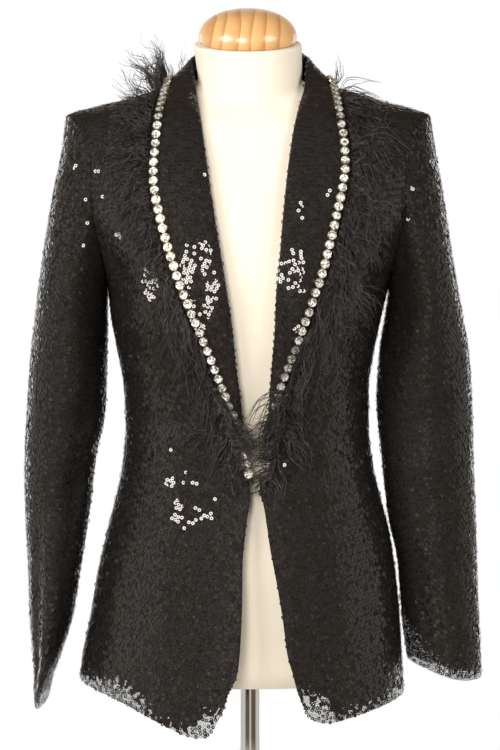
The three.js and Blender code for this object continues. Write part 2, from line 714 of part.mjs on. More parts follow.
function collarStations(side) {
  const line = CHAIN_LINE[side];
  const [low, high] = [line[0].z, lerp(line[0].z, line[line.length - 1].z, COLLAR_CHEST_LAST)];
  const folded = COLLAR_SHARES.filter((share) => share < 0.3);
  const falling = COLLAR_SHARES.filter((share) => share >= 0.3);
  const onChest = (x, z, lift) => onBody(vec(x, -depth(true, z), z), lift);
  const chest = steps(COLLAR_CHEST_STATIONS - 1).map((t) => {
    const edgeZ = lerp(low, high, t);
    const foldZ =
      edgeZ - 14 * smoothstep(t, 0.05, 0.4) * (1 - smoothstep(t, 0.7, 0.95)) + 16 * smoothstep(t, 0.85, 1);
    const foldX = column(EDGE[side], "x", foldZ);
    const edge = onChest(column(line, "x", edgeZ) + side * CHAIN_TO_EDGE, edgeZ, EDGE_LIFT);
    const turn = (share) =>
      onChest(foldX + side * column(FOLD, "in", share, "share"), foldZ, column(FOLD, "lift", share, "share"));
    const last = turn(0.3);
    return [...folded.map(turn), ...falling.map((share) => fall(last, edge, (share - 0.3) / 0.7))];
  });
  const neck = COLLAR_NECK.map((row) => {
    const seam = vec(side * row.seam_x, row.seam_y, row.seam_z);
    const roll = vec(side * row.roll_x, row.roll_y, row.roll_z);
    const edge = onBody(vec(side * row.edge_x, row.edge_y, row.edge_z), EDGE_LIFT);
    const over = roll.clone().lerp(edge, 0.1);
    over.z = roll.z - 0.4;
    return [
      ...folded.map((share) => seam.clone().lerp(roll, share / 0.2)),
      ...falling.map((share) => fall(over, edge, (share - 0.3) / 0.7)),
    ];
  });
  return [...chest, ...neck];
}

// Columns of the collar as curves through its stations, from the front end to the centre back.
function collarCurves(side) {
  const stations = collarStations(side);
  return COLLAR_SHARES.map(
    (_, k) => new THREE.CatmullRomCurve3(stations.map((station) => station[k]), false, "centripetal"),
  );
}

// Rows of the collar: one at each station on the chest, two for each round the neck.
function collarGrid(side) {
  const curves = collarCurves(side);
  const last = COLLAR_CHEST_STATIONS + COLLAR_NECK.length - 1;
  const places = steps(2 * last)
    .map((t) => t * last)
    .filter((t) => t % 1 === 0 || t > COLLAR_CHEST_STATIONS - 1);
  return places.map((t) => curves.map((curve) => curve.getPoint(t / last)));
}

function gridNormals(grid, sign) {
  const last = grid.length - 1;
  return grid.map((row, i) =>
    row.map((_, j) => {
      const [up, down] = [grid[Math.max(0, i - 1)][j], grid[Math.min(last, i + 1)][j]];
      const [before, after] = [row[Math.max(0, j - 1)], row[Math.min(row.length - 1, j + 1)]];
      return down.clone().sub(up).cross(after.clone().sub(before)).normalize().multiplyScalar(sign);
    }),
  );
}

function collar(side) {
  const grid = collarGrid(side);
  return wall(grid, gridNormals(grid, -side), { thickness: COLLAR_WALL });
}

// ---- crystal chain on the collar's edge ----
const CHAIN_CLEARANCE = 0.7;

// Places along the collar's outer edge, with directions: along it, up from the cloth, and outwards.
function edgeFrames(side, from, to, count, inset) {
  const curves = collarCurves(side);
  const [inside, edge] = curves.slice(-2);
  edge.arcLengthDivisions = 600;
  return steps(count).map((share) => {
    const t = edge.getUtoTmapping(lerp(from, to, share));
    const point = edge.getPoint(t);
    const along = edge.getTangent(t);
    const out = point.clone().sub(inside.getPoint(t));
    out.addScaledVector(along, -out.dot(along)).normalize();
    const up = along.clone().cross(out).normalize().multiplyScalar(-side);
    return { point: point.clone().addScaledVector(out, -inset), along, up, out };
  });
}

function chain(side) {
  const length = collarCurves(side).at(-1).getLength();
  const count = Math.round(length / STONE.pitch);
  const frames = edgeFrames(side, 0.01, 0.985, count, CHAIN_TO_EDGE);
  const section = ({ point, up, out, along }, shift, half, height) =>
    [[-1, 0], [1, 0], [0.62, 1], [-0.62, 1]].map(([w, h]) =>
      point.clone().addScaledVector(along, shift).addScaledVector(out, w * half)
        .addScaledVector(up, CHAIN_CLEARANCE + h * height));
  const rings = frames.flatMap((frame) => {
    const link = (shift) => section(frame, shift, STONE.link_width / 2, STONE.link_height);
    const stone = (shift) => section(frame, shift, STONE.radius, STONE.height);
    return [link(-STONE.radius), stone(-STONE.radius / 2), stone(STONE.radius / 2), link(STONE.radius)];
  });
  return skin(rings);
}

// ---- feather trim ----
const FEATHER_STATIONS = 32;
const FEATHER_START = 2.8; // outside the collar's edge
const FEATHER_FLOOR = 1.9; // over the cloth
const FEATHER_TOP = table("across share", [[0.82, 0.55], [0.55, 0.95], [0.28, 1], [0.1, 0.6]]);

function feathers(side) {
  const frames = edgeFrames(side, 0.01, 1, FEATHER_STATIONS, 0);
  const rings = frames.map(({ point, out }, i) => {
    const share = i / FEATHER_STATIONS;
    out.x *= 1 - smoothstep(share, 0.9, 1);
    out.normalize();
    const reach = column(FEATHER, "reach", share, "share");
    const height = column(FEATHER, "height", share, "share") * (1 + 0.12 * Math.sin(i * 2.1));
    const spot = (across, lift) =>
      onBody(onBody(point).addScaledVector(out, FEATHER_START + reach * across), FEATHER_FLOOR + lift);
    return [
      ...[0, 0.2, 0.4, 0.6, 0.8, 1].map((across) => spot(across, 0)),
      ...FEATHER_TOP.map((row) => spot(row.across, height * row.share)),
    ];
  });
  return skin(rings);
}

// ---- hook and eye ----
const WIRE = 0.6; // wire radius
const FASTENER_INSET = 3; // how far behind the front's outer surface the fastener lies

function wire(points) {
  const path = new THREE.CatmullRomCurve3(points, false, "centripetal");
  const section = new THREE.Shape(Array.from({ length: 6 }, (_, i) =>
    new THREE.Vector2(WIRE * Math.cos((i * Math.PI) / 3), WIRE * Math.sin((i * Math.PI) / 3))));
  return new THREE.ExtrudeGeometry(section, { steps: 14, extrudePath: path, bevelEnabled: false });
}

// Both are sewn behind the fronts' edges, just below the closure's height.
const FASTENER_Z = CLOSURE_Z - 4;

function fastenerY() {
  return bodyPoint(LEFT, true, angleAt(LEFT, 8, CLOSURE_Z), CLOSURE_Z).y + FASTENER_INSET;
}

function eye() {
  const y = fastenerY();
  const ring = new THREE.TorusGeometry(3.2, WIRE, 6, 14);
  return ring.rotateX(Math.PI / 2).translate(12.5, y + 0.1, FASTENER_Z);
}

function hook() {
  const y = fastenerY();
  const z = FASTENER_Z;
  return wire([
    vec(-3, y - 0.6, z), vec(2, y - 0.6, z), vec(6, y + 0.3, z + 0.4), vec(9, y + 2.2, z + 2.4),
    vec(11.2, y + 1.9, z + 2.4), vec(12.4, y + 0.4, z + 0.8), vec(12.4, y, z - 1),
  ]);
}

// ---- dress form ----
const FORM_COLUMNS = 32;
const ROUND = [2, 2]; // powers of a plain ellipse

// A horizontal ring whose reach depends on the direction from the axis.
function formRing(z, reach, tilt = 0) {
  return Array.from({ length: FORM_COLUMNS }, (_, j) => {
    const t = (2 * Math.PI * j) / FORM_COLUMNS;
    const way = vec(Math.cos(t), 0.7 * Math.sin(t), 0).normalize();
    const p = way.clone().multiplyScalar(reach(way));
    if (way.y < 0) p.y += way.y * bust(p.x, z, FORM_BUST_HEIGHT);
    return vec(p.x + NECK_LEAN * smoothstep(z, 866, NECK_TOP), p.y, z + tilt * p.y);
  });
}

// The reach of a rounded section in a direction.
function reachOf(wide, front, back, powers) {
  return (way) => {
    const deep = way.y < 0 ? front : back;
    const boxy = powers[way.y < 0 ? 0 : 1];
    let [near, far] = [0, 400];
    for (let i = 0; i < 30; i += 1) {
      const r = (near + far) / 2;
      if ((Math.abs(r * way.x) / wide) ** boxy + ((r * way.y) / deep) ** 2 > 1) far = r;
      else near = r;
    }
    return near;
  };
}

// The larger of two lengths, rounded where they meet.
const softMax = (a, b) => (a ** 16 + b ** 16) ** (1 / 16);

// Over the arms the form's shoulders follow the blazer's, a wall and a little clearance lower, and
// the neck grows out of them.
function shoulderReach(z) {
  const above = z + FORM_DROP;
  const at = Math.max(z, FORM_NECK[0].z);
  const [neckWide, ...neckDeep] = ["wide", "front", "back"].map((name) => column(FORM_NECK, name, at));
  const neck = reachOf(neckWide, ...neckDeep, ROUND);
  if (above >= NECK_POINT.z) return neck;
  const wide = Math.min(FORM_ARM_HALF_WIDTH, column(BODY, "left", above) - FORM_DROP);
  const [front, back] = [depth(true, above) - FORM_DROP, depth(false, above) - FORM_DROP];
  const shoulder = reachOf(wide, front, back, [power(true, above), power(false, above)]);
  return (way) => softMax(shoulder(way), neck(way));
}

function formTorso() {
  const rings = FORM.map((row) => {
    return formRing(row.z, reachOf(row.wide, row.front, row.back, [row.power, row.power]));
  });
  for (const z of [812, 820, 826, 831, 836, 841, 846, 851, 856, 861, 866, 872, 880]) {
    rings.push(formRing(z, shoulderReach(z)));
  }
  const tilt = Math.tan(NECK_TILT);
  const rim = FORM_NECK[FORM_NECK.length - 1];
  rings.push(formRing(NECK_TOP - 2.5, reachOf(rim.wide, rim.front, rim.back, ROUND), tilt));
  rings.push(formRing(NECK_TOP, reachOf(rim.wide - 2.5, rim.front - 2.5, rim.back - 2.5, ROUND), tilt));
  return skin(rings);
}

const CAP = { radius: 52.5, height: 36, widest: 6, seat: 0.3 };

// A turned wooden cap, a flattened dome with a rounded lower edge.
function neckCap() {
  const profile = [[0, 0], [CAP.radius - 3, 0], [CAP.radius - 0.8, 2.2], [CAP.radius, CAP.widest]];
  for (const degrees of [15, 30, 45, 60, 75]) {
    const a = degToRad(degrees);
    profile.push([CAP.radius * Math.cos(a) ** 0.85, CAP.widest + (CAP.height - CAP.widest) * Math.sin(a)]);
  }
  profile.push([0, CAP.height]);
  const points = profile.map(([r, y]) => new THREE.Vector2(r, y));
  return new THREE.LatheGeometry(points, 28).rotateX(Math.PI / 2);
}

function base() {
  const profile = [
    [0, 0],
    [BASE_RADIUS - 1, 0],
    [BASE_RADIUS, 1],
    [BASE_RADIUS, BASE_EDGE - 1],
    [BASE_RADIUS - 2, BASE_EDGE],
    [60, 9],
    [22, 11],
    [20, 12],
    [20, BASE_HUB - 1],
    [19, BASE_HUB],
    [0, BASE_HUB],
  ];
  return new THREE.LatheGeometry(profile.map(([r, y]) => new THREE.Vector2(r, y)), 40).rotateX(Math.PI / 2);
}

function pole() {
  const length = FORM_BOTTOM - BASE_HUB - 2 * PIECE_GAP;
  const tube = new THREE.CylinderGeometry(POLE_RADIUS, POLE_RADIUS, length, 24);
  return tube.rotateX(Math.PI / 2).translate(0, 0, BASE_HUB + PIECE_GAP + length / 2);
}

// ---- materials and assembly ----
const cloth = new THREE.MeshStandardMaterial({ color: 0x242120, roughness: 0.45, metalness: 0.1 });
const down = new THREE.MeshStandardMaterial({ color: 0x2a211f, roughness: 0.8, metalness: 0 });
const crystal = new THREE.MeshStandardMaterial({ color: 0xd9d4c6, roughness: 0.12, metalness: 0.6 });
const jersey = new THREE.MeshStandardMaterial({ color: 0xf6efe0, roughness: 0.85, metalness: 0 });
const pine = new THREE.MeshStandardMaterial({ color: 0xe3a860, roughness: 0.35, metalness: 0 });
const chrome = new THREE.MeshStandardMaterial({ color: 0xcfd1d3, roughness: 0.12, metalness: 1 });
const blackWire = new THREE.MeshStandardMaterial({ color: 0x1c1b1b, roughness: 0.4, metalness: 0.8 });

const blazer = new THREE.Group();

function add(name, geometry, material) {
  const mesh = new THREE.Mesh(geometry, material);
  mesh.name = name;
  blazer.add(mesh);
  return mesh;
}

for (const [name, side] of [["right", RIGHT], ["left", LEFT]]) {
  add(`front_${name}`, front(side), cloth);
  add(`sleeve_${name}`, sleeve(side), cloth);
  add(`collar_${name}`, collar(side), cloth);
  add(`crystal_chain_${name}`, chain(side), crystal);
  add(`feather_trim_${name}`, feathers(side), down);
}
add("back", back(), cloth);
add("hook", hook(), blackWire);
add("eye", eye(), blackWire);
add("form_torso", formTorso(), jersey);
const cap = add("form_neck_cap", neckCap(), pine);
cap.position.set(NECK_LEAN, 0, NECK_TOP + CAP.seat);
cap.rotation.x = NECK_TILT;
add("form_pole", pole(), chrome);
add("form_base", base(), chrome);

export default blazer;
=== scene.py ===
import json
import math

import bmesh
import bpy
import numpy as np
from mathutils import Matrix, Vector
from mathutils.kdtree import KDTree

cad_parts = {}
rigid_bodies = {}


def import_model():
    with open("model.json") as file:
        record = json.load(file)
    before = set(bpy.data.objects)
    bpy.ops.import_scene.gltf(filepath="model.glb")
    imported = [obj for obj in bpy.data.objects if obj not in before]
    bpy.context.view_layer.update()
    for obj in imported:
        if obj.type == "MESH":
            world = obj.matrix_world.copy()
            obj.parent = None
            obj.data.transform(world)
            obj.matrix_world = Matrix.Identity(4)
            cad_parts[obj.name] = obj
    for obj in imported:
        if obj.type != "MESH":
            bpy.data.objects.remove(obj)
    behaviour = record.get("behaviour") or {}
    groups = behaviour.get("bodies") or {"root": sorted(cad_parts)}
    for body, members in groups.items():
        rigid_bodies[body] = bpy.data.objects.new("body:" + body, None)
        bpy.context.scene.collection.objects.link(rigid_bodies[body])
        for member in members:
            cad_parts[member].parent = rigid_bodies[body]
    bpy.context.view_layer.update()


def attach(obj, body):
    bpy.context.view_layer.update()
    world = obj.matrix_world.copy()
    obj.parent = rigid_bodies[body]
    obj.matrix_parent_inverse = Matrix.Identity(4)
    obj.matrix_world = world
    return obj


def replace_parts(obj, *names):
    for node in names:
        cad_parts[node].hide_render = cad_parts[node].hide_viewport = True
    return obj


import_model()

RIGHT, LEFT = -1, 1
SIDES = {"right": RIGHT, "left": LEFT}
SEAM = 0.7  # clearance between two pieces that are sewn together

# ---- camera ----
VIEW_HEIGHT = 552  # the height at the middle of the view
VIEW_DISTANCE = 2600
VIEW_DROP = math.radians(2)  # the camera looks down by this much
SENSOR, LENS = 36, 116.7

camera = bpy.data.objects.new("camera", bpy.data.cameras.new("camera"))
bpy.context.scene.collection.objects.link(camera)
camera.data.sensor_width, camera.data.lens = SENSOR, LENS
camera.data.clip_end = 60
camera.location = (
    0,
    -VIEW_DISTANCE * math.cos(VIEW_DROP) / 1000,
    (VIEW_HEIGHT + VIEW_DISTANCE * math.sin(VIEW_DROP)) / 1000,
)
camera.rotation_euler = (math.pi / 2 - VIEW_DROP, 0, 0)
bpy.context.scene.camera = camera


# ---- tables: named columns, one row for each section or point ----
def table(names, rows):
    return dict(zip(names.split(), np.array(rows, float).T))


FORM_BOTTOM = 230
NECK_TOP = 905
NECK_TILT = math.radians(15)
NECK_LEAN = -2.5
POLE_RADIUS = 11.5
BASE_RADIUS = 150
BASE_EDGE = 6  # the plate's thickness at its rim
BASE_HUB = 18  # the height of its hub
PIECE_GAP = 0.3
NECK_X, NECK_Z = 62, 868
ARMPIT_Z = 645
SHOULDER_TIP_Z = 828
ARMHOLE_HALF_DEPTH = 62
CLOSURE_Z = 438

# Horizontal sections of the blazer's outer surface.
BODY = table("z right left front back front_power back_power", [
    [170, 188, 168, 131, 138, 2.3, 2.3],
    [217, 184, 165, 129, 136, 2.3, 2.3],
    [250, 180, 163, 127, 133, 2.3, 2.3],
    [300, 170, 160, 123, 129, 2.3, 2.3],
    [347, 162, 155, 118, 123, 2.3, 2.3],
    [385, 153, 149, 113, 115, 2.3, 2.3],
    [420, 144, 140, 108, 106, 2.35, 2.35],
    [460, 136, 131, 104, 95, 2.4, 2.4],
    [500, 133, 127, 103, 90, 2.4, 2.4],
    [540, 135, 127, 106, 92, 2.4, 2.4],
    [580, 142, 133, 112, 98, 2.4, 2.4],
    [613, 148, 140, 116, 105, 2.4, 2.4],
    [645, 152, 148, 118, 111, 2.4, 2.4],
    [680, 168, 165, 116, 116, 2.5, 2.45],
    [720, 186, 183, 110, 119, 2.8, 2.45],
    [760, 193, 190, 100, 117, 3.1, 2.3],
    [800, 198, 194, 84, 108, 3.2, 2],
    [818, 199, 195, 75, 100, 2.9, 1.8],
    [828, 196, 192, 68, 93, 2.2, 1.65],
    [833, 183, 181, 64, 89, 1.8, 1.55],
    [838, 164, 164, 60, 84, 1.55, 1.5],
    [845, 135, 135, 53, 77, 1.4, 1.4],
    [852, 112, 112, 45, 69, 1.3, 1.3],
    [860, 88, 88, 34, 52, 1.25, 1.25],
    [868, 62, 62, 18, 22, 1.2, 1.2],
])

# Front edges below the collar's end, and necklines above it.
EDGE = {
    RIGHT: table("z x", [
        [197, -36.5], [212, -28], [231, -22], [250, -13], [280, -9.8], [323, -8], [362, -7.5],
        [403, -3.5], [424, 0], [CLOSURE_Z, 5], [460, -1], [498, -6.5], [527, -9], [564, -14],
        [601, -17.5], [638, -23], [675, -29], [712, -35], [748, -40.5], [785, -46], [815, -50],
        [840, -54], [855, -57.5], [868, -NECK_X],
    ]),
    LEFT: table("z x", [
        [213, 57], [221, 53], [232, 48.7], [251, 43.5], [269, 38.5], [306, 33.5], [342, 27.5],
        [379, 20.5], [403, 17], [424, 13.5], [CLOSURE_Z, 9.5], [460, 13], [483, 17], [511, 18.5],
        [564, 22], [601, 25], [638, 26.5], [675, 30], [712, 33], [748, 36.5], [785, 41], [815, 46],
        [840, 52], [855, 57], [868, NECK_X],
    ]),
}

# Front hems, from the rounded corner to the side seam.
HEM = {
    RIGHT: table("x z", [
        [36.5, 197], [42, 188.5], [49, 184.5], [60, 185], [80, 192], [107, 204], [144, 220], [186, 230],
    ]),
    LEFT: table("x z", [
        [57, 213], [61, 206], [67, 201], [78, 198], [98, 200], [122, 205.5], [146, 211], [167, 215],
    ]),
}
BACK_HEM_Z = 207
BACK_NECK_Z = 851

# Sleeve sections, and the cuffs' edges.
SLEEVE = {
    RIGHT: table("z outer half_width half_depth forward", [
        [198, 229, 6, 64, 8],
        [218, 229.5, 7.5, 64, 8],
        [250, 231, 13.5, 63, 6],
        [289, 235, 22, 62, 4],
        [347, 237, 28, 61, 2],
        [405, 240, 34, 61, 0],
        [462, 241, 38, 61, -2],
        [520, 238, 42, 62, -3],
        [578, 234, 41, 63, -3],
        [616, 229, 38.6, 64, -2],
        [650, 225, 37, 64, -1],
        [690, 219, 38, 64, 0],
        [751, 210, 40, 63, 0],
        [790, 203, 40, 63, 0],
        [SHOULDER_TIP_Z, 200, 40, 63, 0],
    ]),
    LEFT: table("z outer half_width half_depth forward", [
        [216, 249, 39.5, 42, 0],
        [250, 248, 40, 43, -1],
        [289, 246, 41.5, 45, -2],
        [347, 243.5, 42.5, 47, -3],
        [405, 242, 47.5, 49, -4],
        [462, 239.5, 49.5, 51, -4],
        [520, 238, 51.5, 54, -4],
        [578, 234, 48, 58, -3],
        [616, 227, 41.5, 61, -2],
        [650, 221, 37, 63, -1],
        [690, 214, 38, 64, 0],
        [751, 206, 40, 63, 0],
        [790, 200, 40, 63, 0],
        [SHOULDER_TIP_Z, 196, 40, 63, 0],
    ]),
}
CUFF = {
    RIGHT: {"low": 204, "outer_rise": 0, "inner_rise": 3},
    LEFT: {"low": 223, "outer_rise": 7, "inner_rise": 26},
}

# Folds of a sleeve: where round it (0 outer, 90 front), how far up and down, its width in degrees, how
# deep (negative is a ridge), and how many degrees it turns round the sleeve for each millimetre up.
SLEEVE_FOLDS = {
    RIGHT: table("around z reach width depth twist", [
        [128, 455, 110, 22, 5, 0],
        [60, 330, 120, 20, 4, 0],
        [250, 420, 130, 24, 5, 0],
        [300, 300, 90, 20, 4, 0],
        [100, 500, 26, 40, 2.2, 1.2],
        [80, 455, 22, 36, -1.8, 1.4],
        [110, 420, 24, 38, 2, 1.3],
        [140, 600, 40, 26, 2.2, -0.5],
        [95, 255, 30, 30, 1.6, 0.8],
        [255, 510, 26, 38, 2.2, -1.2],
        [235, 600, 40, 30, 2, 0.5],
    ]),
    LEFT: table("around z reach width depth twist", [
        [70, 390, 120, 22, 3.5, 0],
        [118, 300, 100, 20, 4, 0],
        [215, 430, 120, 24, 4, 0],
        [285, 330, 110, 22, 4, 0],
        [85, 505, 26, 40, 2.2, -1.2],
        [105, 460, 22, 36, -1.8, -1.4],
        [75, 425, 24, 38, 2, -1.2],
        [130, 600, 44, 26, 2.4, -0.5],
        [90, 270, 26, 34, 1.8, 0.9],
        [250, 500, 26, 38, 2.2, 1.2],
        [240, 600, 40, 30, 2, 0.5],
    ]),
}

# Soft flutes of the skirt below the waist.
SKIRT_FLUTES = {
    "front": table("x width depth start", [
        [-150, 24, 4, 400], [-108, 26, -3, 380], [112, 24, -3, 360], [140, 20, 3, 380],
    ]),
    "back": table("x width depth start", [
        [-110, 30, -4, 400], [-62, 26, 5, 420], [0, 30, -4, 440], [64, 26, 5, 420], [112, 30, -4, 400],
    ]),
}
BUST = {"x": 76, "z": 642, "height": 11, "width": 52, "length": 60}

# Creases of the body: a line from x, z to end_x, end_z, its width, and its depth (negative is a ridge).
CREASES = {
    "front": table("x z end_x end_z width depth", [
        [-14, 440, -82, 470, 9, 1.6],
        [-18, 432, -100, 446, 8, -1.2],
        [-20, 424, -112, 420, 10, 1.4],
        [-60, 505, -128, 500, 9, 1.5],
        [-70, 488, -132, 478, 8, -1.1],
        [-96, 560, -140, 600, 10, 1.5],
        [-104, 380, -132, 250, 13, 1.8],
        [-58, 360, -76, 230, 13, 1.5],
        [-30, 330, -40, 240, 10, -1.2],
        [-128, 640, -150, 700, 9, 1.6],
        [22, 440, 84, 466, 9, 1.5],
        [24, 430, 96, 440, 8, -1.2],
        [28, 420, 108, 410, 10, 1.4],
        [66, 500, 122, 492, 9, 1.4],
        [88, 560, 130, 596, 10, 1.5],
        [70, 370, 84, 240, 13, 1.5],
        [108, 390, 126, 260, 13, 1.7],
        [126, 640, 146, 700, 9, 1.6],
    ]),
    "back": table("x z end_x end_z width depth", [
        [-110, 520, -20, 496, 10, 1.8],
        [110, 514, 24, 500, 10, 1.8],
        [-100, 486, -30, 470, 9, -1.3],
        [96, 480, 20, 476, 9, -1.3],
        [-128, 620, -90, 560, 10, 1.8],
        [128, 620, 92, 562, 10, 1.8],
        [-144, 700, -120, 640, 10, 1.6],
        [144, 700, 120, 640, 10, 1.6],
        [-30, 430, -36, 260, 14, 1.6],
        [34, 430, 38, 260, 14, 1.6],
    ]),
}

# The dress form: sections, neck, and how its shoulders carry the cloth.
FORM = table("z wide front back power", [
    [FORM_BOTTOM, 143, 96, 104, 2.3],
    [300, 144, 98, 108, 2.3],
    [347, 141, 99, 109, 2.3],
    [385, 135, 97, 104, 2.3],
    [420, 127, 93, 95, 2.35],
    [460, 118, 89, 85, 2.4],
    [500, 114, 88, 80, 2.4],
    [540, 116, 92, 82, 2.4],
    [580, 122, 99, 89, 2.4],
    [613, 128, 104, 96, 2.4],
    [645, 134, 107, 102, 2.4],
    [680, 142, 106, 108, 2.4],
    [720, 150, 101, 112, 2.5],
    [760, 155, 91, 111, 2.6],
    [800, 157, 77, 101, 2.6],
])
FORM_BUST_HEIGHT = 9
FORM_DROP = 4
FORM_ARM_HALF_WIDTH = 157
FORM_NECK = table("z wide front back", [
    [845, 56, 55.5, 57],
    [858, 55.6, 54.5, 56],
    [872, 56, 54, 55.5],
    [NECK_TOP + 18, 57.5, 55.5, 57],
])

FORM_SHOULDERS = (812, 820, 826, 831, 836, 841, 846, 851, 856, 861, 866, 872, 880)  # heights of its rings
FORM_RIM = ((0, 0), (1.3, 0.4), (2.1, 1.2), (2.5, 2.5))  # up and in, round the edge of the neck's top

# The crystal chain's middle line on the chest; the collar's edge lies just outside it.
CHAIN_LINE = {
    RIGHT: table("z x", [
        [446, 1], [460, -3.5], [480, -8], [498, -12], [522, -20.5], [562, -35], [605, -52], [650, -71],
        [692, -86], [733, -96], [756, -99.5], [782, -98], [808, -96], [834, -93],
    ]),
    LEFT: table("z x", [
        [446, 11.5], [465, 16.5], [490, 21], [515, 24.3], [540, 29.5], [582, 45], [625, 60], [670, 76],
        [710, 86.5], [749, 95], [771, 98], [790, 97], [810, 95], [834, 90.5],
    ]),
}
CHAIN_TO_EDGE = 5.2
COLLAR_NECK = table("seam_x seam_y seam_z roll_x roll_y roll_z edge_x edge_y edge_z", [
    [57, -30, 856, 57.5, -33, 857, 93, -24, 853],
    [58.4, -6, 865.4, 59.4, -10, 878, 89, -3, 862],
    [58.8, 12, 864, 61.2, 14, 889, 85, 22, 860],
    [54.8, 32.5, 858, 58, 37, 896, 79, 50, 851],
    [36.5, 50.5, 853, 41, 56, 900, 62, 78, 841],
    [19, 59.6, 851, 20.5, 65, 902, 32, 90, 836],
    [0.4, 62.8, 850, 0.4, 68, 902, 0.4, 93, 834],
])
FOLD = table("share in lift", [[0, 0.9, -2], [0.1, 0.1, -0.7], [0.2, 0.5, 0.9], [0.3, 2.6, 2.4]])
FOLD_SUNK, FOLD_RAISED = 14, 16  # how far the fold lies below the edge down the chest, and over it at its top
COLLAR_CHEST_STATIONS = 20
COLLAR_CHEST_LAST = 0.97
EDGE_LIFT = 3.1
ROLL_ALLOWANCE = 4.9

# How far the feather trim reaches out, at shares of its length from the closure to the centre back.
FEATHER = table("share reach", [
    [0, 10], [0.1, 22], [0.2, 34], [0.32, 44], [0.5, 48], [0.66, 46], [0.78, 42], [0.88, 36], [1, 32],
])

# ---- sewn-on trims ----
NET_THICKNESS = 0.5
NET_LIFT, COLLAR_NET_LIFT = -0.2, -0.1  # how far the net's outside lies out from the cloth's
SEQUIN = {
    "radius": 2.05, "hole": 0.78, "cup": 0.03,  # a 4 mm disc, its middle pressed in
    "pitch": 4.3, "row": 3.95, "least": 3.0, "edge": 2.0, "end": 1.6,  # how they are spaced over the net
    "tilt": 0.09, "stray": 0.4, "lift": 0.35,
}
COLLAR_COVER = 4.6  # places nearer than this to the collar's outside are under it

# The cloth is backed down to a line a little above its hems and cuffs, and below it light comes through
# the net: the line's height above the hem at each x of a front or of the back, or at each turn round a
# sleeve in degrees (0 outer, 90 front).
LINING = {
    "front_right": table("at height", [
        [-186, 16], [-165, 19], [-130, 20], [-114, 15], [-106, 6], [-98, 3], [-72, 3], [-65, 8], [-61, 28],
        [-42, 30], [-35, 14], [-31, 3], [0, 3],
    ]),
    "front_left": table("at height", [
        [50, 3], [60, 8], [64, 32], [86, 30], [93, 6], [106, 9], [130, 6], [146, 9], [152, 15], [167, 15],
    ]),
    "back": table("at height", [[-190, 8], [190, 8]]),
    "sleeve_right": table("at height", [
        [0, 90], [12, 60], [28, 8], [60, 9], [110, 22], [150, 60], [170, 135], [190, 135], [205, 55],
        [250, 20], [330, 8], [348, 60], [360, 90],
    ]),
    "sleeve_left": table("at height", [
        [0, 14], [60, 16], [100, 18], [130, 34], [160, 60], [200, 55], [250, 20], [320, 14], [360, 14],
    ]),
}
FULLY_LINED = 100  # the height over that line of a piece which has none
SEQUINS_HOLD = 4  # from this height over it up, every sequin is there
UNLINED_LOSS = 0.32  # the share of the sequins that have come off below that

# Where the cloth glints, and the share of its sequins there that do.
GLINTS = table("x z half_x half_z share", [
    # the right lapel
    [-64, 664, 7, 27, 0.72], [-45, 674, 8, 25, 0.89], [-38, 642, 8, 15, 0.72], [-59, 632, 8, 8, 0.47],
    [-43, 625, 10, 10, 0.72], [-54, 606, 13, 7, 0.42], [-52, 655, 22, 48, 0.18],
    # the left lapel
    [52, 723, 4, 11, 0.59], [43, 674, 5, 13, 0.89], [51, 667, 5, 19, 0.84], [30, 661, 4, 13, 0.72],
    [42, 655, 16, 18, 0.35], [48, 640, 9, 13, 0.35], [47, 604, 6, 4, 0.72], [81, 742, 4, 8, 0.47],
    # the chest beside the right feathers
    [-102, 650, 10, 19, 0.65], [-126, 644, 3, 3, 1],
    # the front of the right sleeve
    [-182, 769, 5, 5, 0.54], [-173, 777, 4, 6, 0.27], [-157, 763, 10, 6, 0.41], [-152, 746, 4, 8, 0.41],
    [-171, 736, 3, 3, 0.8], [-189, 729, 3, 3, 0.8], [-171, 715, 4, 5, 0.54], [-136, 701, 4, 6, 0.54],
    [-181, 688, 10, 3, 0.27], [-194, 656, 3, 4, 0.48],
    # the right of the waist
    [-82, 445, 8, 7, 1], [-68, 443, 4, 4, 0.72], [-57, 443, 5, 4, 0.47], [-73, 420, 8, 7, 0.84],
    [-53, 418, 4, 4, 1], [-75, 408, 7, 6, 1], [-59, 405, 6, 4, 0.59], [-43, 410, 9, 5, 0.94],
    [-81, 477, 3, 3, 1], [-65, 455, 3, 3, 1], [-35, 428, 3, 3, 1], [-67, 399, 3, 3, 1],
    # a few single ones
    [34, 461, 3, 3, 1], [167, 748, 3, 3, 1], [166, 718, 3, 3, 0.6], [-4, 417, 3, 3, 0.7],
    [220, 530, 3, 3, 0.8], [205, 330, 3, 3, 0.6], [120, 470, 26, 30, 0.015], [-20, 740, 40, 40, 0.01],
])
GLINT_SPREAD = 0.03  # how far a glinting sequin may be off the mirror's angle
GLINT_REACH = 0.7  # the least cosine between it and the cloth
LOOSE_SEQUINS = {"times": [0.5, 1, 2.2], "share": [0.5, 0.38, 0.12]}  # how loosely they hang
KEEN_SEQUINS = {"times": [1, 0.88], "share": [0.88, 0.12]}  # how far off the lights' glare they stay
GLARE_PASSES = 6  # over and over, because turning off one light can turn towards another

STONE = {
    "radius": 4.65, "table": 2.6, "crown": 1.7, "girdle": 2.6, "girdle_edge": 0.4, "pavilion": 1.9,
    "culet": 0.25,  # as a share of its width
    "cup": 4.95, "pitch": 10.5,
}
FOIL = {"low": 0.1, "below_girdle": 0.45, "foot": 1.6, "inside": 0.1, "facet": 1.4, "step": 0.3}
CUP = {"below_girdle": 0.5, "sunk": 0.2, "wall": 0.4, "hollow": 0.6, "prong": 1.0, "prong_in": 0.55}
CHAIN_STONES = 61
CHAIN_LIFT = 0.5

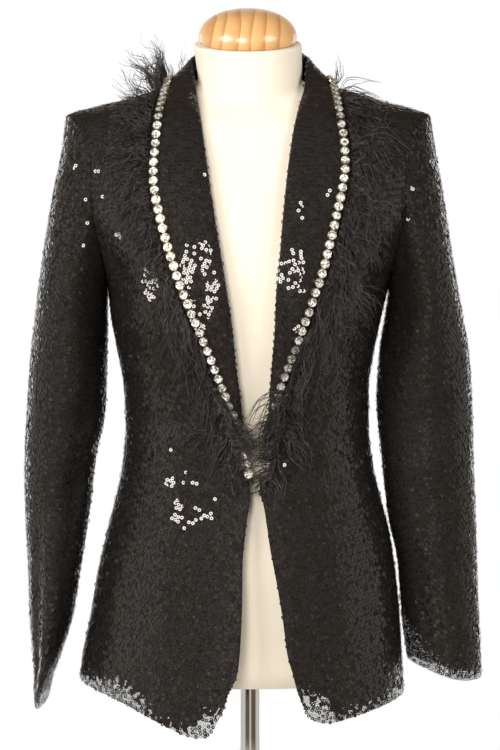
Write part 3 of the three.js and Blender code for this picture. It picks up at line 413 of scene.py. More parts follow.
# The feathers: plumes of loose strands, set along the trim.
PLUMES = 160
PLUME_STRANDS = 24
STRAND_STEPS = 9
BLADE = {"root": 1.05, "tip": 0.3}  # a strand's width at its root, and the share of it left at its tip
TRIM_ENDS = (0.012, 0.998)
# Their density, their length against the trim's reach, how steeply they rise, how they lean along the trim
# (towards the neck is positive), how far they curl over to the side, and how far they fan out.
FEATHER_STYLE = {
    RIGHT: table("share density length rise lean curl fan", [
        [0, 0.8, 2, 0.3, -0.8, 0.5, 0.5],
        [0.08, 1.4, 1.8, 0.25, -1, 0.5, 0.5],
        [0.2, 1.6, 1.4, 0.3, -1.6, 0.6, 0.6],
        [0.3, 1.1, 1.2, 0.3, -1.3, 0.8, 0.6],
        [0.36, 0.4, 0.8, 0.3, -0.8, 0.8, 0.5],
        [0.44, 0.9, 0.9, 0.35, -0.3, 1.3, 0.5],
        [0.5, 1.6, 0.9, 0.3, -0.1, 0.5, 0.4],
        [0.58, 1.6, 0.9, 0.35, 0, 0.5, 0.4],
        [0.65, 0.6, 0.9, 1, 0.5, 0.4, 0.6],
        [0.69, 0.3, 1.1, 3, 0.2, 0.4, 0.9],
        [0.76, 0.45, 1.6, 4, 1.4, 0.3, 1.1],
        [0.88, 0.75, 1.7, 4.5, 1.2, 0.4, 1.1],
        [0.94, 0.25, 0.9, 2, 0.3, 0.7, 0.6],
        [1, 0.25, 0.8, 0.6, 0, 0.7, 0.6],
    ]),
    LEFT: table("share density length rise lean curl fan", [
        [0, 1.8, 3, 0.3, -0.9, 0.8, 0.5],
        [0.08, 2.4, 2.4, 0.3, -1.2, 0.9, 0.5],
        [0.2, 2.2, 1.6, 0.35, -1.4, 1, 0.6],
        [0.34, 1.8, 1.3, 0.4, -0.9, 1.2, 0.6],
        [0.46, 1.9, 1.2, 0.4, -0.5, 1.4, 0.6],
        [0.56, 1.9, 1.1, 0.4, -0.4, 1.4, 0.5],
        [0.62, 1.7, 1.1, 0.3, -0.6, 1.4, 0.4],
        [0.69, 1.6, 1.1, 0.3, -0.4, 1.2, 0.4],
        [0.715, 0.4, 0.9, 0.3, 0, 1, 0.5],
        [0.73, 0.25, 1.5, 4, 0.3, 0.5, 0.7],
        [0.79, 0.25, 1.5, 4, 0.3, 0.5, 0.7],
        [0.81, 0.3, 0.8, 0.4, 0, 0.8, 0.5],
        [0.94, 0.3, 0.7, 0.6, 0, 0.7, 0.5],
        [1, 0.5, 0.8, 0.6, 0, 0.7, 0.6],
    ]),
}
# The plumes near the closure that fall inwards, over the opening: their share, how far up the trim they
# grow, and where their roots lie.
CROSSING = {RIGHT: 0.35, LEFT: 0.75}
CROSSING_UP_TO = 0.16
CROSSING_IN, CROSSING_LIFT = -4, 7.5

# ---- grids and cuts ----
# Where a collar's stand ends, and where its fall starts past the roll between them, as shares of its grid.
STAND_END, ROLL, FALL_START = 0.2, 0.1, 0.3
COLLAR_SHARES = np.concatenate([
    np.linspace(0, STAND_END, 5)[:-1],
    np.linspace(STAND_END, FALL_START, 3)[:-1],
    np.linspace(FALL_START, 1, 14),
])
COLLAR_ROWS = 130
FRONT_COLUMNS, BODY_ROWS, BACK_COLUMNS = 41, 110, 91
SLEEVE_COLUMNS, SLEEVE_ROWS = 64, 100
FORM_COLUMNS = 96
FLOOR_RADIUS = 740


# ---- small maths, all on arrays ----
def lerp(a, b, t):
    return a + (b - a) * t


def smoothstep(x, low, high):
    t = np.clip((x - low) / (high - low), 0, 1)
    return t * t * (3 - 2 * t)


def bell(distance, width):
    return np.exp(-((distance / width) ** 2))


def unit(v):
    return v / np.maximum(np.linalg.norm(v, axis=-1, keepdims=True), 1e-12)


def vec(x, y, z):
    return np.stack(np.broadcast_arrays(x, y, z), -1).astype(float)


def column(rows, name, at, key="z"):
    """A column of a table at places between its rows, on a smooth curve that never overshoots a row."""
    x, y = rows[key], rows[name]
    if x[-1] < x[0]:
        x, y = x[::-1], y[::-1]
    slope = np.diff(y) / np.diff(x)
    a, b = slope[:-1], slope[1:]
    inner = np.where(a * b > 0, 2 * a * b / np.where(a * b > 0, a + b, 1), 0)
    tangent = np.concatenate([slope[:1], inner, slope[-1:]])
    at = np.clip(np.asarray(at, float), x[0], x[-1])
    i = np.clip(np.searchsorted(x, at, side="right") - 1, 0, len(x) - 2)
    step = x[i + 1] - x[i]
    t = (at - x[i]) / step
    t2, t3 = t * t, t * t * t
    return (
        y[i] * (2 * t3 - 3 * t2 + 1)
        + tangent[i] * step * (t3 - 2 * t2 + t)
        + y[i + 1] * (3 * t2 - 2 * t3)
        + tangent[i + 1] * step * (t3 - t2)
    )


def reach(outside, near, far, turns):
    """How far it is to the outside, found by halving, on arrays of ways."""
    for _ in range(turns):
        middle = (near + far) / 2
        out = outside(middle)
        near, far = np.where(out, near, middle), np.where(out, middle, far)
    return near


def lengths_along(points):
    """The length walked from the first point to each one."""
    return np.concatenate([[0], np.cumsum(np.linalg.norm(np.diff(points, axis=0), axis=1))])


# ---- the blazer's body surface ----
def half_width(side, z):
    return np.where(side < 0, column(BODY, "right", z), column(BODY, "left", z))


def depth(front, z):
    return np.where(front, column(BODY, "front", z), column(BODY, "back", z))


def power(front, z):
    return np.where(front, column(BODY, "front_power", z), column(BODY, "back_power", z))


def bust(x, z, height):
    return height * bell(np.abs(x) - BUST["x"], BUST["width"]) * bell(z - BUST["z"], BUST["length"])


def flutes(rows, x, z):
    total = 0
    for at, width, deep, start in zip(*rows.values()):
        total = total + deep * bell(x - at, width) * smoothstep(start - z, 0, 190)
    return total


def stand_out(front, x, z):
    """How far the surface stands out to the front or the back, over the plain section."""
    plain = bust(x, z, BUST["height"]) + flutes(SKIRT_FLUTES["front"], x, z)
    return np.where(front, plain, flutes(SKIRT_FLUTES["back"], x, z))


def body_point(side, front, angle, z):
    """angle 0 is the side, 90 degrees the centre front or the centre back."""
    x = side * half_width(side, z) * np.maximum(0, np.cos(angle)) ** (2 / power(front, z))
    out = np.sin(angle) * (depth(front, z) + stand_out(front, x, z))
    return vec(x, np.where(front, -out, out), z)


def angle_at(side, x, z):
    """The angle at which the front of the section at height z has a given x."""
    share = np.clip(side * x / half_width(side, z), 0, 1)
    return np.arccos(np.minimum(1, share ** (power(True, z) / 2)))


def body_field(p):
    """Zero on the body surface, positive outside it."""
    x, y = p[..., 0], p[..., 1]
    z = np.minimum(p[..., 2], NECK_Z)
    side, front = np.where(x < 0, RIGHT, LEFT), y < 0
    share = np.abs(x) / half_width(side, z)
    deep = np.abs(y) / (depth(front, z) + stand_out(front, x, z))
    return share ** power(front, z) + deep * deep - 1


def body_normal(p):
    slopes = [body_field(p + axis) - body_field(p - axis) for axis in np.eye(3) * 0.4]
    return unit(np.stack(slopes, -1))


def height_over_body(p, least_slope):
    """How far p is over the body surface, and the way out of it there."""
    step = 0.5
    normal, here = body_normal(p), body_field(p)
    slope = (body_field(p + normal * step) - here) / step
    return here / np.maximum(slope, least_slope), normal


def on_body(p, lift):
    """The points of the body surface nearest to p, moved out by lift."""
    q = np.array(p, float)
    for _ in range(12):
        height, normal = height_over_body(q, 1e-4)
        q = q + normal * np.clip(-height, -8, 8)[..., None]
    return q + body_normal(q) * np.asarray(lift)[..., None]


# Directions from the body's axis: a turn from the side (0) over the front or back, and a level that is a
# height up to the chest, and above it a slope from the chest's centre, so that shoulders are reached too.
CHEST_CENTRE_Z = 700
SLOPE_RADIUS = 190


def direction_of(p, side):
    x, y, z = p[..., 0], p[..., 1], p[..., 2]
    slope = CHEST_CENTRE_Z + SLOPE_RADIUS * np.arctan2(z - CHEST_CENTRE_Z, np.hypot(x, y))
    level = np.where(z <= CHEST_CENTRE_Z, z, slope)
    return np.stack([np.arctan2(np.abs(y), side * x), level], -1)


def in_direction(side, front, where):
    turn, level = where[..., 0], where[..., 1]
    rise = np.maximum(0, level - CHEST_CENTRE_Z) / SLOPE_RADIUS
    start = vec(0, 0, np.minimum(level, CHEST_CENTRE_Z))
    way = unit(vec(side * np.cos(turn), (-1 if front else 1) * np.sin(turn), np.tan(rise)))
    outside = lambda far: body_field(start + way * far[..., None]) > 0
    return start + way * reach(outside, np.full(turn.shape, 40.0), np.full(turn.shape, 320.0), 24)[..., None]


# ---- armholes ----
ARMPIT_SHARE = 0.62  # a side border runs up the side seam to this share, then round the armhole


def armhole_place(around):
    c, s = np.cos(around), np.abs(np.sin(around))
    rise = np.where(c > 0, np.abs(c) ** 0.6, c)
    z = (SHOULDER_TIP_Z + ARMPIT_Z) / 2 + (SHOULDER_TIP_Z - ARMPIT_Z) / 2 * rise
    return np.sin(around) >= 0, ARMHOLE_HALF_DEPTH * s, z


def armhole_angle(around):
    front, out, z = armhole_place(around)
    return np.arcsin(np.minimum(0.95, out / depth(front, z)))


def armhole(side, around):
    front, _, z = armhole_place(around)
    return body_point(side, front, armhole_angle(around), z)


def seam_way(side, around):
    """The way across the seam, from the panel to the sleeve."""
    return unit(vec(side, 0, -1.2 * np.maximum(0, np.cos(around))))


# ---- panels between border curves ----
def patch(borders, side, u, v):
    """Directions over a patch, for columns u and rows v, between its bottom, top, start and end borders."""
    bottom, top, start, end = borders
    along = lambda border, t: direction_of(border(np.asarray(t, float)), side)
    low, high = along(bottom, u)[None], along(top, u)[None]
    first, last = along(start, v)[:, None], along(end, v)[:, None]
    c = [along(bottom, [0.0, 1.0]), along(top, [0.0, 1.0])]
    U, V = u[None, :, None], v[:, None, None]
    return (
        (1 - V) * low + V * high + (1 - U) * first + U * last
        - (1 - U) * (1 - V) * c[0][0] - U * (1 - V) * c[0][1]
        - (1 - U) * V * c[1][0] - U * V * c[1][1]
    )


def seam_angle(front, z):
    return np.arcsin(SEAM / 2 / depth(front, z))


def side_border(side, front, hem_z):
    def border(v):
        around = (1 if front else -1) * np.pi * (1 - (v - ARMPIT_SHARE) / (1 - ARMPIT_SHARE))
        round_it = v >= ARMPIT_SHARE - 1e-9
        around = np.where(round_it, around, np.pi * (1 if front else -1))
        z = np.where(round_it, armhole_place(around)[2], lerp(hem_z, ARMPIT_Z, v / ARMPIT_SHARE))
        seam = seam_angle(front, z)
        angle = np.where(round_it, np.maximum(seam, armhole_angle(around)), seam)
        return body_point(side, front, angle, z)

    return border


def shoulder_seam(side, front, from_neck):
    z = lerp(NECK_Z, SHOULDER_TIP_Z, from_neck)
    return body_point(side, front, seam_angle(front, z), z)


EDGE_HEIGHTS = {
    side: table("share z", [
        [0, hem["z"][0]], [0.3, 400], [0.36, CLOSURE_Z], [0.385, 454], [0.62, 625], [1, NECK_Z],
    ])
    for side, hem in HEM.items()
}


def creases(front, p):
    """How far the cloth's creases stand in from the plain surface."""
    rows = CREASES["front" if front else "back"]
    total = np.zeros(p.shape[:-1])
    for x, z, end_x, end_z, width, deep in zip(*rows.values()):
        way = np.array([end_x - x, end_z - z])
        length = np.hypot(*way)
        from_start = p[..., [0, 2]] - np.array([x, z])
        along = from_start @ way / length**2
        across = (from_start[..., 0] * way[1] - from_start[..., 1] * way[0]) / length
        fade = smoothstep(along, -0.15, 0.3) * (1 - smoothstep(along, 0.6, 1.2))
        total += deep * fade * bell(across, width)
    return total


def creased(front, p):
    return p - body_normal(p) * creases(front, p)[..., None]


def front_surface(side):
    hem = HEM[side]
    corner_x, corner_z = hem["x"][0], hem["z"][0]
    corner_angle = angle_at(side, side * corner_x, corner_z)

    def bottom(u):
        angle = lerp(corner_angle, seam_angle(True, corner_z), u)
        x = np.abs(body_point(side, True, angle, corner_z)[..., 0])
        z = column(hem, "z", x, "x")
        return body_point(side, True, np.maximum(seam_angle(True, z), angle_at(side, side * x, z)), z)

    def start(v):
        z = column(EDGE_HEIGHTS[side], "z", v, "share")
        under = smoothstep(z, CLOSURE_Z, CLOSURE_Z + 16) * (1 - smoothstep(z, 835, NECK_Z))
        x = column(EDGE[side], "x", z) + side * ROLL_ALLOWANCE * under
        return body_point(side, True, np.maximum(seam_angle(True, z), angle_at(side, x, z)), z)

    top = lambda u: shoulder_seam(side, True, u)
    end = side_border(side, True, bottom(np.array([1.0]))[0, 2])
    borders = (bottom, top, start, end)
    return lambda u, v: creased(True, in_direction(side, True, patch(borders, side, u, v)))


# A line down the back from each neck point divides it into three strips.
BACK_LINE = table("share degrees z", [
    [0, 69, 210],
    [ARMPIT_SHARE, 67.4, 640],
    [0.72, 69, 700],
    [0.82, 70, 757],
    [0.89, 67, 806],
    [0.92, 63, 826],
    [0.948, 58, 842],
    [0.968, 50, 851],
    [0.985, 38, 860],
    [1, 1, NECK_Z],
])


def back_surface():
    side_hem = {side: hem["z"][-1] for side, hem in HEM.items()}

    def hem(side, degrees):
        foot_z = np.where(side < 0, side_hem[RIGHT], side_hem[LEFT])
        z = lerp(BACK_HEM_Z, foot_z, (1 - degrees / 90) ** 2)
        return body_point(side, False, np.maximum(seam_angle(False, z), np.radians(degrees)), z)

    def line(side):
        def border(v):
            degrees = column(BACK_LINE, "degrees", v, "share")
            foot = hem(side, BACK_LINE["degrees"][0])[2] - BACK_LINE["z"][0]
            z = column(BACK_LINE, "z", v, "share") + foot * (1 - smoothstep(v, 0, 0.1))
            return body_point(side, False, np.maximum(seam_angle(False, z), np.radians(degrees)), z)

        return border

    def neckline(u):
        degrees = 180 * np.minimum(u, 1 - u)
        z = lerp(NECK_Z, BACK_NECK_Z, np.sin(np.radians(degrees)))
        side = np.where(u < 0.5, RIGHT, LEFT)
        return body_point(side, False, np.maximum(seam_angle(False, z), np.radians(degrees)), z)

    foot = BACK_LINE["degrees"][0]

    def middle_hem(u):
        degrees = np.where(u < 0.5, lerp(foot, 90, 2 * u), lerp(90, foot, 2 * u - 1))
        return hem(np.where(u < 0.5, RIGHT, LEFT), degrees)

    strips = [
        (lambda u: hem(RIGHT, u * foot), lambda u: shoulder_seam(RIGHT, False, 1 - u),
         side_border(RIGHT, False, side_hem[RIGHT]), line(RIGHT)),
        (middle_hem, neckline, line(RIGHT), line(LEFT)),
        (lambda u: hem(LEFT, (1 - u) * foot), lambda u: shoulder_seam(LEFT, False, u),
         line(LEFT), side_border(LEFT, False, side_hem[LEFT])),
    ]

    def surface(u, v):
        """u runs from 0 to 3, a whole number at each line."""
        parts = []
        for k, borders in enumerate(strips):
            here = u[(u >= k) & ((u < k + 1) | (k == 2))] - k
            if len(here):
                where = patch(borders, RIGHT, here, v)
                parts.append(in_direction(RIGHT, False, where))
        return creased(False, np.concatenate(parts, 1))

    return surface


# ---- sleeves ----
SLEEVE_HEAD = 0.25  # share of the sleeve over which it leaves the armhole's shape


def cuff_height(side, around):
    cuff = CUFF[side]
    outward = (1 + np.cos(around)) / 2
    return cuff["low"] + cuff["outer_rise"] * outward**3 + cuff["inner_rise"] * (1 - outward) ** 1.5


def sleeve_point(side, around, z):
    rows = SLEEVE[side]
    a, b = column(rows, "half_width", z), column(rows, "half_depth", z)
    middle = column(rows, "outer", z) - a
    degrees = np.degrees(around) % 360
    trough = 0
    for at, fold_z, reach, width, deep, twist in zip(*SLEEVE_FOLDS[side].values()):
        off = (degrees - at - twist * (z - fold_z) + 180) % 360 - 180
        trough = trough + deep * bell(off, width) * bell(z - fold_z, reach)
    shrink = 1 - trough / np.maximum(a, 14)
    y = -column(rows, "forward", z) - b * np.sin(around) * shrink
    return vec(side * (middle + a * np.cos(around) * shrink), y, z)


def sleeve_surface(side):
    def surface(around, s):
        around, s = np.broadcast_arrays(around[None], s[:, None])
        top = armhole(side, around) + seam_way(side, around) * (SEAM / 2)
        z = lerp(top[..., 2], cuff_height(side, around), s)
        shift = top - sleeve_point(side, around, top[..., 2])
        leaving = (1 - np.minimum(1, s / SLEEVE_HEAD)) ** 2
        return sleeve_point(side, around, z) + shift * leaving[..., None]

    return surface


# ---- collar ----
def spline(points, t):
    """Points on a centripetal Catmull-Rom curve through points, at shares t of its spans."""
    n = len(points)
    padded = np.concatenate([[2 * points[0] - points[1]], points, [2 * points[-1] - points[-2]]])
    at = np.clip(t, 0, 1) * (n - 1)
    i = np.minimum(at.astype(int), n - 2)
    w = (at - i)[:, None]
    a, b, c, d = (padded[i + k] for k in range(4))
    gap = lambda p, q: np.maximum(np.linalg.norm(q - p, axis=-1, keepdims=True), 1e-8) ** 0.5
    d0, d1, d2 = gap(a, b), gap(b, c), gap(c, d)
    t1 = ((b - a) / d0 - (c - a) / (d0 + d1) + (c - b) / d1) * d1
    t2 = ((c - b) / d1 - (d - b) / (d1 + d2) + (d - c) / d2) * d1
    return b + t1 * w + (-3 * b + 3 * c - 2 * t1 - t2) * w**2 + (2 * b - 2 * c + t1 + t2) * w**3


def fall(start, edge, t):
    """The fall of the collar from the fold to its edge, slightly rounded."""
    crown = np.minimum(4, 0.07 * np.linalg.norm(edge - start, axis=-1, keepdims=True))
    return lerp(start, edge, t) + body_normal(edge) * crown * np.sin(np.pi * t**0.8)


def collar_stations(side, shares):
    """Rows of points over the collar, from its end at the front to the centre back."""
    line = CHAIN_LINE[side]
    low, high = line["z"][0], lerp(line["z"][0], line["z"][-1], COLLAR_CHEST_LAST)
    t = np.arange(COLLAR_CHEST_STATIONS) / (COLLAR_CHEST_STATIONS - 1)
    on_chest = lambda x, z, lift: on_body(vec(x, -depth(True, z), z), lift)
    edge_z = lerp(low, high, t)
    sunk = smoothstep(t, 0.05, 0.4) * (1 - smoothstep(t, 0.7, 0.95))
    fold_z = edge_z - FOLD_SUNK * sunk + FOLD_RAISED * smoothstep(t, 0.85, 1)
    fold_x = column(EDGE[side], "x", fold_z)
    edge = on_chest(column(line, "x", edge_z) + side * CHAIN_TO_EDGE, edge_z, np.full(len(t), EDGE_LIFT))

    def folded(share):
        lift = np.full(len(t), float(column(FOLD, "lift", share, "share")))
        return on_chest(fold_x + side * column(FOLD, "in", share, "share"), fold_z, lift)

    def rolled(share):
        if share <= STAND_END:
            return lerp(seam, roll, share / STAND_END)
        return lerp(roll, over, (share - STAND_END) / ROLL)

    def rows_of(stand, start, edge):
        fallen = lambda share: fall(start, edge, (share - FALL_START) / (1 - FALL_START))
        return np.stack([stand(s) if s < FALL_START else fallen(s) for s in shares], 1)

    seam, roll, neck_edge = (
        vec(side * COLLAR_NECK[key + "_x"], COLLAR_NECK[key + "_y"], COLLAR_NECK[key + "_z"])
        for key in ("seam", "roll", "edge")
    )
    neck_edge = on_body(neck_edge, np.full(len(neck_edge), EDGE_LIFT))
    over = lerp(roll, neck_edge, 0.1)
    over[:, 2] = roll[:, 2] - 0.4
    return np.concatenate([rows_of(folded, folded(FALL_START), edge), rows_of(rolled, over, neck_edge)])


def collar_surface(side):
    def surface(shares, t):
        stations = collar_stations(side, shares)
        return np.stack([spline(stations[:, k], t) for k in range(len(shares))], 1)

    return surface


def edge_frames(side, lengths):
    """Places along the collar's outer edge, at shares of its length, and the ways along it, up and out."""
    stations = collar_stations(side, np.array([0.82, 1.0]))
    t = np.linspace(0, 1, 1200)
    walked = lengths_along(spline(stations[:, 1], t))
    at = np.interp(lengths * walked[-1], walked, t)
    point, inside = spline(stations[:, 1], at), spline(stations[:, 0], at)
    along = unit(spline(stations[:, 1], at + 2e-4) - spline(stations[:, 1], at - 2e-4))
    out = point - inside
    out = unit(out - along * np.sum(out * along, -1, keepdims=True))
    up = unit(np.cross(along, out)) * -side
    return point, along, up, out


# ---- meshes ----
def new_object(name, points, faces, uv=None, smooth=True):
    """An object from points in millimetres and faces that all have as many corners; uv is for each corner."""
    mesh = bpy.data.meshes.new(name)
    mesh.vertices.add(len(points))
    mesh.vertices.foreach_set("co", (np.asarray(points) / 1000).ravel())
    mesh.loops.add(faces.size)
    mesh.loops.foreach_set("vertex_index", faces.ravel())
    mesh.polygons.add(len(faces))
    mesh.polygons.foreach_set("loop_start", np.arange(len(faces)) * faces.shape[1])
    mesh.polygons.foreach_set("use_smooth", np.full(len(faces), smooth))
    if uv is not None:
        mesh.uv_layers.new(name="UVMap").data.foreach_set("uv", (uv / 1000).ravel())
    mesh.update(calc_edges=True)
    mesh.validate()
    made = bpy.data.objects.new(name, mesh)
    bpy.context.scene.collection.objects.link(made)
    return made


def paint(piece, material):
    piece.data.materials.clear()
    piece.data.materials.append(material)


def dress(piece, material):
    paint(piece, material)
    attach(piece, "root")
    return piece


def quads(a, b, c, d):
    return np.stack([a, b, c, d], -1).reshape(-1, 4)


def closed(grid, axis=1):
    """A grid whose first column is repeated as its last one."""
    return np.concatenate([grid, np.take(grid, [0], axis)], axis)


def way_along(points, axis, ring=False):
    """The way from each grid point's neighbour before it to the one after it."""
    if ring:
        return np.roll(points, -1, axis) - np.roll(points, 1, axis)
    return np.gradient(points, axis=axis)


class Cloth:
    """A grid of points over a piece's outer surface, with the ways out of it and the lengths along it."""

    def __init__(self, points, outward, ring=False):
        self.ring = ring
        normals = unit(np.cross(way_along(points, 1, ring), way_along(points, 0)))
        normals = normals * np.sign(np.sum(normals * outward))
        self.points, self.normals = (closed(points), closed(normals)) if ring else (points, normals)
        step = np.linalg.norm(np.diff(self.points, axis=0), axis=-1)
        self.down = np.concatenate([np.zeros((1, self.points.shape[1])), np.cumsum(step, 0)])
        step = np.linalg.norm(np.diff(self.points, axis=1), axis=-1)
        self.across = np.concatenate([np.zeros((len(points), 1)), np.cumsum(step, 1)], 1)
        self.above = np.full(self.down.shape, float(FULLY_LINED))

    def line(self, rows, hem):
        """Sets how far each point is above the lining's edge; hem is the grid row along the hem."""
        above_hem = np.abs(self.down - self.down[hem])
        at = np.linspace(0, 360, above_hem.shape[1]) if self.ring else self.points[hem, :, 0]
        self.above = above_hem - np.interp(at, *rows.values())

    def at(self, row):
        """Points, ways out, lengths across and heights over the lining's edge, on a line between two rows."""
        i = min(int(row), len(self.points) - 2)
        grids = (self.points, self.normals, self.across, self.above)
        return [lerp(grid[i], grid[i + 1], row - i) for grid in grids]


def shell_faces(index, ring):
    """Quads over a grid's two layers and round its open edges; index is layer x row x column."""
    top, low = index
    faces = [
        quads(top[:-1, :-1], top[:-1, 1:], top[1:, 1:], top[1:, :-1]),
        quads(low[:-1, :-1], low[1:, :-1], low[1:, 1:], low[:-1, 1:]),
        quads(top[0, 1:], top[0, :-1], low[0, :-1], low[0, 1:]),
        quads(top[-1, :-1], top[-1, 1:], low[-1, 1:], low[-1, :-1]),
    ]
    if not ring:
        faces.append(quads(top[:-1, 0], top[1:, 0], low[1:, 0], low[:-1, 0]))
        faces.append(quads(top[1:, -1], top[:-1, -1], low[:-1, -1], low[1:, -1]))
    return np.concatenate(faces)


def volume(points, faces):
    a, b, c, d = (points[faces[:, k]] for k in range(4))
    return np.sum(a * np.cross(b, c)) + np.sum(a * np.cross(c, d))


def net(name, cloth, lift):
    """The net under a piece's sequins: a thin closed shell, with flat coordinates that follow the cloth."""
    layers = np.stack([cloth.points + cloth.normals * depth for depth in (lift, lift - NET_THICKNESS)])
    rows, cols = cloth.points.shape[:2]
    flat = np.stack([cloth.across - cloth.across[:, -1:] / 2, cloth.down], -1)
    lining = np.stack([cloth.above, np.zeros((rows, cols))], -1)
    flat_faces = shell_faces(np.arange(2 * rows * cols).reshape(2, rows, cols), cloth.ring)
    faces = flat_faces
    if cloth.ring:  # its first and last columns share their points, but not their flat coordinates
        layers = layers[:, :, :-1]
        index = np.arange(2 * rows * (cols - 1)).reshape(2, rows, cols - 1)
        faces = shell_faces(closed(index, 2), True)
    points = layers.reshape(-1, 3)
    if volume(points, faces) < 0:
        faces, flat_faces = faces[:, ::-1], flat_faces[:, ::-1]
    uv, lined = (np.concatenate([grid.reshape(-1, 2)] * 2)[flat_faces.ravel()] for grid in (flat, lining))
    made = new_object(name + "_net", points, faces, uv)
    made.data.uv_layers.new(name="Lining").data.foreach_set("uv", (lined / 1000).ravel())
    return made


# ---- sequins ----
def thinned(points, least):
    """Which points to keep so that no two are nearer than least."""
    cells, keep = {}, []
    corners = np.floor(points / least).astype(int).tolist()
    for i, (point, (x, y, z)) in enumerate(zip(points.tolist(), corners)):
        near = [
            other
            for dx in (-1, 0, 1) for dy in (-1, 0, 1) for dz in (-1, 0, 1)
            for other in cells.get((x + dx, y + dy, z + dz), ())
        ]
        if all(math.dist(point, other) >= least for other in near):
            cells.setdefault((x, y, z), []).append(point)
            keep.append(i)
    return np.array(keep)


def sequin_places(cloth):
    """Staggered rows of places down a cloth, with the ways out of it there."""
    long_column = np.argsort(cloth.down[-1])[int(0.8 * cloth.down.shape[1])]
    lengths = cloth.down[:, long_column]
    heights = np.arange(SEQUIN["end"], lengths[-1] - SEQUIN["end"], SEQUIN["row"])
    random = np.random.default_rng(len(lengths))
    spots, ways = [], []
    for k, row in enumerate(np.interp(heights, lengths, np.arange(len(lengths)))):
        points, normals, across, above = cloth.at(row)
        count = max(1, round(across[-1] / SEQUIN["pitch"]))
        at = (np.arange(count) + (0.3 if k % 2 else 0.8)) * across[-1] / count
        if not cloth.ring:
            at = at[(at > SEQUIN["edge"]) & (at < across[-1] - SEQUIN["edge"])]
        at = at[(np.interp(at, across, above) > SEQUINS_HOLD) | (random.random(len(at)) > UNLINED_LOSS)]
        for found, grid in ((spots, points), (ways, normals)):
            found.append(np.stack([np.interp(at, across, grid[:, c]) for c in range(3)], -1))
    spots, ways = np.concatenate(spots), unit(np.concatenate(ways))
    keep = thinned(spots, SEQUIN["least"])
    return spots[keep], ways[keep]


def copies(shape, places, x, y, z):
    """Points and faces of a shape set at many places, each with its own axes."""
    points, faces = shape
    turned = sum(points[None, :, k, None] * axis[:, None] for k, axis in enumerate((x, y, z)))
    shifted = faces[None] + (np.arange(len(places)) * len(points))[:, None, None]
    return (places[:, None] + turned).reshape(-1, 3), shifted.reshape(-1, faces.shape[1])


def axes_round(normal, turn):
    """Two ways square to a normal, turned round it."""
    side = unit(np.cross(normal, np.array([0.31, 0.23, 0.92])))
    other = np.cross(normal, side)
    c, s = np.cos(turn)[:, None], np.sin(turn)[:, None]
    return side * c + other * s, other * c - side * s


def mirror_way(spots, light):
    """The way a sequin has to face to throw a light into the camera."""
    return unit(unit(camera_place - spots) + unit(light - spots))


def turned_off(ways, glare, least):
    """Ways nearer to the glare than least are turned off it, so that the cloth stays dark there."""
    along = np.sum(ways * glare, -1, keepdims=True)
    off = ways - glare * along
    size = np.linalg.norm(off, axis=-1, keepdims=True)
    return np.where((along > 0) & (size < least), unit(glare + off / np.maximum(size, 1e-9) * least), ways)


def set_sequins(name, spots, ways, seed):
    """A piece's sequins, each a little loose, turned off the glare, and where the cloth glints to the key."""
    random = np.random.default_rng(seed)
    count = len(spots)
    drawn = lambda kinds: random.choice(kinds["times"], (count, 1), p=kinds["share"])
    spots = spots + random.normal(0, SEQUIN["stray"], (count, 3))
    cloth_ways, ways = ways, unit(ways + random.normal(0, SEQUIN["tilt"], (count, 3)) * drawn(LOOSE_SEQUINS))
    keen = drawn(KEEN_SEQUINS)
    for light, least in GLARE * GLARE_PASSES:
        ways = turned_off(ways, mirror_way(spots, light), least * keen)
    for x, z, half_x, half_z, share in zip(*GLINTS.values()):
        near = ((spots[:, 0] - x) / half_x) ** 2 + ((spots[:, 2] - z) / half_z) ** 2
        lit = (near < random.uniform(0.4, 1, count)) & (spots[:, 1] < 0) & (random.random(count) < share)
        slack = GLINT_SPREAD * random.random((count, 1)) ** 2
        to_key = unit(mirror_way(spots, key_place) + random.normal(0, 1, (count, 3)) * slack)
        reachable = np.sum(to_key * cloth_ways, -1) > GLINT_REACH
        ways = np.where((lit & reachable)[:, None], to_key, ways)
    x, y = axes_round(ways, random.uniform(0, 2 * np.pi, count))
    points, faces = copies(sequin_shape, spots + ways * SEQUIN["lift"], x, y, ways)
    return dress(new_object(name, points, faces, smooth=False), sequin_film)


